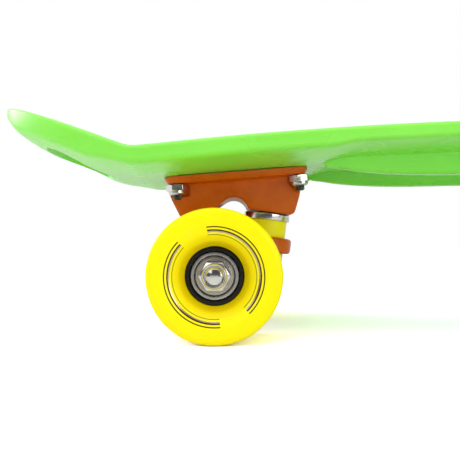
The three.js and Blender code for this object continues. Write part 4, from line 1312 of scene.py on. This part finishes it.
def make_thread_tree():
    tree, given, sockets = new_nodes("rolled_thread", [
        ("Radius", "Float", 0.0024), ("Length", "Float", 0.006), ("Pitch", "Float", 0.0008),
        ("Tooth", "Float", 0.0003), ("Finish", "Material")])
    helix = node(tree, "GeometryNodeCurveSpiral", {
        "Resolution": 20, "Rotations": maths(tree, "DIVIDE", given["Length"], given["Pitch"]),
        "Start Radius": given["Radius"], "End Radius": given["Radius"],
        "Height": given["Length"]})
    level = node(tree, "GeometryNodeSetCurveNormal", {"Curve": helix}, mode="Z_UP")
    tooth = node(tree, "GeometryNodeCurvePrimitiveCircle", {
        "Resolution": 4, "Radius": given["Tooth"]})
    swept = node(tree, "GeometryNodeCurveToMesh", {
        "Curve": level, "Profile Curve": tooth, "Fill Caps": True})
    finish_nodes(tree, swept, given["Finish"])
    return tree, sockets


thread_nodes = make_thread_tree()


def make_thread(name, radius, low, high, pitch, place, finish):
    coil = bake_nodes(name, [], *thread_nodes, Radius=radius * MM, Length=(high - low) * MM,
                      Pitch=pitch * MM, Tooth=pitch * TOOTH_SHARE * MM, Finish=finish)
    coil.data.transform(place @ shift(0, 0, low))
    shade_by_angle(coil, 20)
    return coil


# %% [markdown]
# ## Kingpin stack
# From the block down: a cupped chrome washer, a tall bushing, the hanger's ring, a short bushing,
# a flat washer and a lock nut. The bushings are squeezed by the nut, so their sides swell a little
# between flat ends.

# %% Washers, bushings, kingpin and its nut
WASHER_TOP = BLOCK_ABOVE_RING - 0.3
WASHER_UNDER = WASHER_TOP - 1.4
SEAT = RING_HALF - 1 + 0.3
UPPER_TOP = WASHER_UNDER - 0.3
LOWER_END = -SEAT - 9.4
LOWER_WASHER_TOP = LOWER_END - 0.3
KINGPIN_TAIL = 26.0
KINGPIN_NUT_ACROSS, KINGPIN_NUT_HEIGHT, LOWER_WASHER_THICKNESS = 14.3, 6.8, 1.5
CUP_RADIUS = 4.8


def make_upper_washer():
    profile = [(4.9, WASHER_UNDER, 0.15), (11.55, WASHER_UNDER, 0.5),
               (11.55, WASHER_UNDER - 2.1, 0.2), (12.5, WASHER_UNDER - 2.1, 0.25),
               (12.5, WASHER_TOP, 0.7), (4.9, WASHER_TOP, 0.15)]
    return lathe("upper_washer", profile, kingpin_place, chrome, sides=128, steps=6)


def make_bushing(low, high):
    middle = (low + high) / 2
    profile = [(4.9, low, 0.2), (10.9, low, 0.7), (11.22, low + 1.6, 1.5), (11.25, middle, 3),
               (11.22, high - 1.6, 1.5), (10.9, high, 0.7), (4.9, high, 0.2)]
    return lathe("bushing", profile, kingpin_place, bushing_rubber, sides=96, steps=5)


def set_bushings(made, shape_name, node_name, held_at, ring_at):
    """Both ends' bushings, set down in place of the imported ones, which are hidden."""
    for end in ("rear", "front"):
        place = truck_place(end == "front")
        label = f"{end}_{node_name}"
        fresh = set_down(made, f"{end}_{shape_name}", place)
        held, moved = (place @ kingpin_place @ mm(0, 0, z) for z in (held_at, ring_at))
        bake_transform(fresh)
        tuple(held)
        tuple(moved)
        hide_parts(label)
    print(shape_name, triangles(made), "triangles each")
    drop(made)


def make_kingpin():
    shank_end = LOWER_WASHER_TOP - LOWER_WASHER_THICKNESS
    profile = [(0, -KINGPIN_TAIL, 0), (3.7, -KINGPIN_TAIL, 0.2), (4.35, -KINGPIN_TAIL + 0.7, 0.2),
               (4.35, shank_end, 0.3), (4.75, shank_end + 0.4, 0.3), (4.75, 28.4, 0.3),
               (7.5, 28.4, 0.3), (7.5, 33.8, 0.6), (6.9, 34.4, 0.4), (0, 34.4, 0)]
    rod = lathe("kingpin", profile, kingpin_place, black_steel, sides=64)
    coil = make_thread("kingpin_thread", 4.3, -KINGPIN_TAIL + 1.0, shank_end, 1.25, kingpin_place,
                       black_steel)
    return join_painted("kingpin", rod, coil)


def make_kingpin_nut():
    seam = LOWER_WASHER_TOP - LOWER_WASHER_THICKNESS
    end = seam - KINGPIN_NUT_HEIGHT
    washer = lathe("washer", [(4.9, seam, 0.1), (11, seam, 0.4), (11, LOWER_WASHER_TOP, 0.4),
                              (4.9, LOWER_WASHER_TOP, 0.1)], kingpin_place, chrome, sides=96)
    body = make_nut_body(KINGPIN_NUT_ACROSS, end + 1.6, seam - 0.02, kingpin_place,
                         (KINGPIN_BORE, end - 1, LOWER_WASHER_TOP + 2))
    collar = [(4.9, end, 0.2), (5.9, end, 0.5), (6.5, end + 0.8, 0.4), (6.5, end + 3, 0),
              (4.9, end + 3, 0)]
    ring = lathe("nut_collar", collar, kingpin_place, chrome, sides=72)
    return join_painted("kingpin_nut", washer, body, ring)


def make_pivot_cup():
    turns = [radians(90) * k / 8 for k in range(9)]
    bowl = [(CUP_RADIUS * cos(turn), CUP_RADIUS * sin(turn), 0) for turn in turns]
    profile = [(0, 6.4, 0), (7.0, 6.4, 1.2), (7.0, -3.2, 0.4), (CUP_RADIUS, -3.2, 0.3), *bowl]
    return lathe("pivot_cup", profile, pivot_place, black_plastic, sides=64)


set_both(make_upper_washer(), "cup_washer", "chrome", "upper_washer")
set_bushings(make_bushing(SEAT, UPPER_TOP), "board_bushing", "upper_bushing", UPPER_TOP, SEAT)
set_bushings(make_bushing(LOWER_END, -SEAT), "road_bushing", "lower_bushing", LOWER_END, -SEAT)
set_both(make_kingpin(), "kingpin_bolt", "black_steel", "kingpin")
set_both(make_kingpin_nut(), "kingpin_lock_nut", "chrome", "kingpin_nut")
set_both(make_pivot_cup(), "pivot_seat", "black_plastic", "pivot_cup")

# %% [markdown]
# ## Axles and mounting hardware
# The axle is a chrome rod pressed through the hanger. Eight black countersunk screws come down
# through the deck and the baseplates into chrome lock nuts, whose collars hold a nylon ring.

# %% Axles
def make_axle(end):
    place = shift(AXLE_X[end], 0, WHEEL_RADIUS) @ ACROSS
    half = [(0, -71.35, 0), (1.9, -71.25, 1.5), (3.4, -70.9, 0.35), (3.75, -70.3, 0.2),
            (3.75, -63.5, 0.2), (4.0, -63.0, 0.2)]
    name = f"{end}_axle_rod"
    coils = [make_thread("axle_thread", 3.72, low, low + 6.6, 1.0, place, chrome)
             for low in (63.9, -70.5)]
    made = join_painted(name, lathe(name, mirrored(half), place, chrome, sides=64), *coils)
    settle(made, "chrome", f"{end}_axle")
    return triangles(made)


print("axles:", [make_axle(end) for end in ("rear", "front")], "triangles")

# %% Screws and lock nuts
SCREW_TOP = PAD_THICKNESS - 0.7
SCREW_REACH, KEY_ACROSS, MOUNT_NUT_ACROSS = 11.6, 3.2, 9.5
NUT_TOP = -FLANGE - 0.3
NUT_SEAM = NUT_TOP - 3.4
NUT_END = NUT_SEAM - 2.0
NEAR_TURN, FAR_TURN, FAR_TWIST = 0.17, 0.6, 0.3


def make_screw():
    neck = SCREW_TOP - 2.7
    profile = [(0, -SCREW_REACH, 0), (1.7, -SCREW_REACH, 0.1), (2.1, -SCREW_REACH + 0.6, 0.1),
               (2.1, 2.0, 0.2), (2.4, 2.5, 0.2), (2.4, neck, 0.4), (4.6, SCREW_TOP - 0.3, 0.15),
               (4.6, SCREW_TOP, 0.15), (0, SCREW_TOP, 0)]
    rod = lathe("screw", profile, UPRIGHT, black_steel, sides=48)
    key = hexagon(KEY_ACROSS, 0.1)
    boolean(rod, prism("key", key, SCREW_TOP - 1.6, SCREW_TOP + 2, UPRIGHT))
    weld(rod)
    coil = make_thread("screw_thread", 2.08, -SCREW_REACH + 0.8, 2.2, 0.8, UPRIGHT, black_steel)
    return join_painted("screw", rod, coil)


def make_lock_nut():
    body = make_nut_body(MOUNT_NUT_ACROSS, NUT_SEAM, NUT_TOP, UPRIGHT,
                         (2.55, NUT_END - 2, NUT_TOP + 2), sides=32)
    collar = [(2.9, NUT_END + 0.3, 0.1), (3.6, NUT_END, 0.4), (4.3, NUT_END + 0.7, 0.5),
              (4.3, NUT_SEAM + 1, 0), (2.9, NUT_SEAM + 1, 0)]
    insert = [(2.55, NUT_END + 0.5), (3.0, NUT_END + 0.5), (3.0, NUT_SEAM + 1),
              (2.55, NUT_SEAM + 1)]
    return join_painted("lock_nut", body, lathe("collar", collar, UPRIGHT, chrome, sides=64),
                        lathe("insert", insert, UPRIGHT, nylon, sides=48, corner=0.1))


screw, lock_nut = make_screw(), make_lock_nut()
for end in ("rear", "front"):
    for sx, sy, spot in bolt_places(end == "front"):
        row = "inner" if sx > 0 else "outer"
        column = "left" if spot.translation.y > 0 else "right"
        turn = NEAR_TURN if sy < 0 else FAR_TURN + FAR_TWIST * sx
        turned = spot @ Matrix.Rotation(turn, 4, "Z")
        for shape, kind, slot in ((screw, "bolt", "black_steel"), (lock_nut, "nut", "chrome")):
            made = set_down(shape, f"{end}_{kind}_{row}_{column}", turned)
            settle(made, slot, f"{end}_mount_{kind}_{row}_{column}")
print("screw:", triangles(screw), "lock nut:", triangles(lock_nut), "triangles")
drop(screw)
drop(lock_nut)
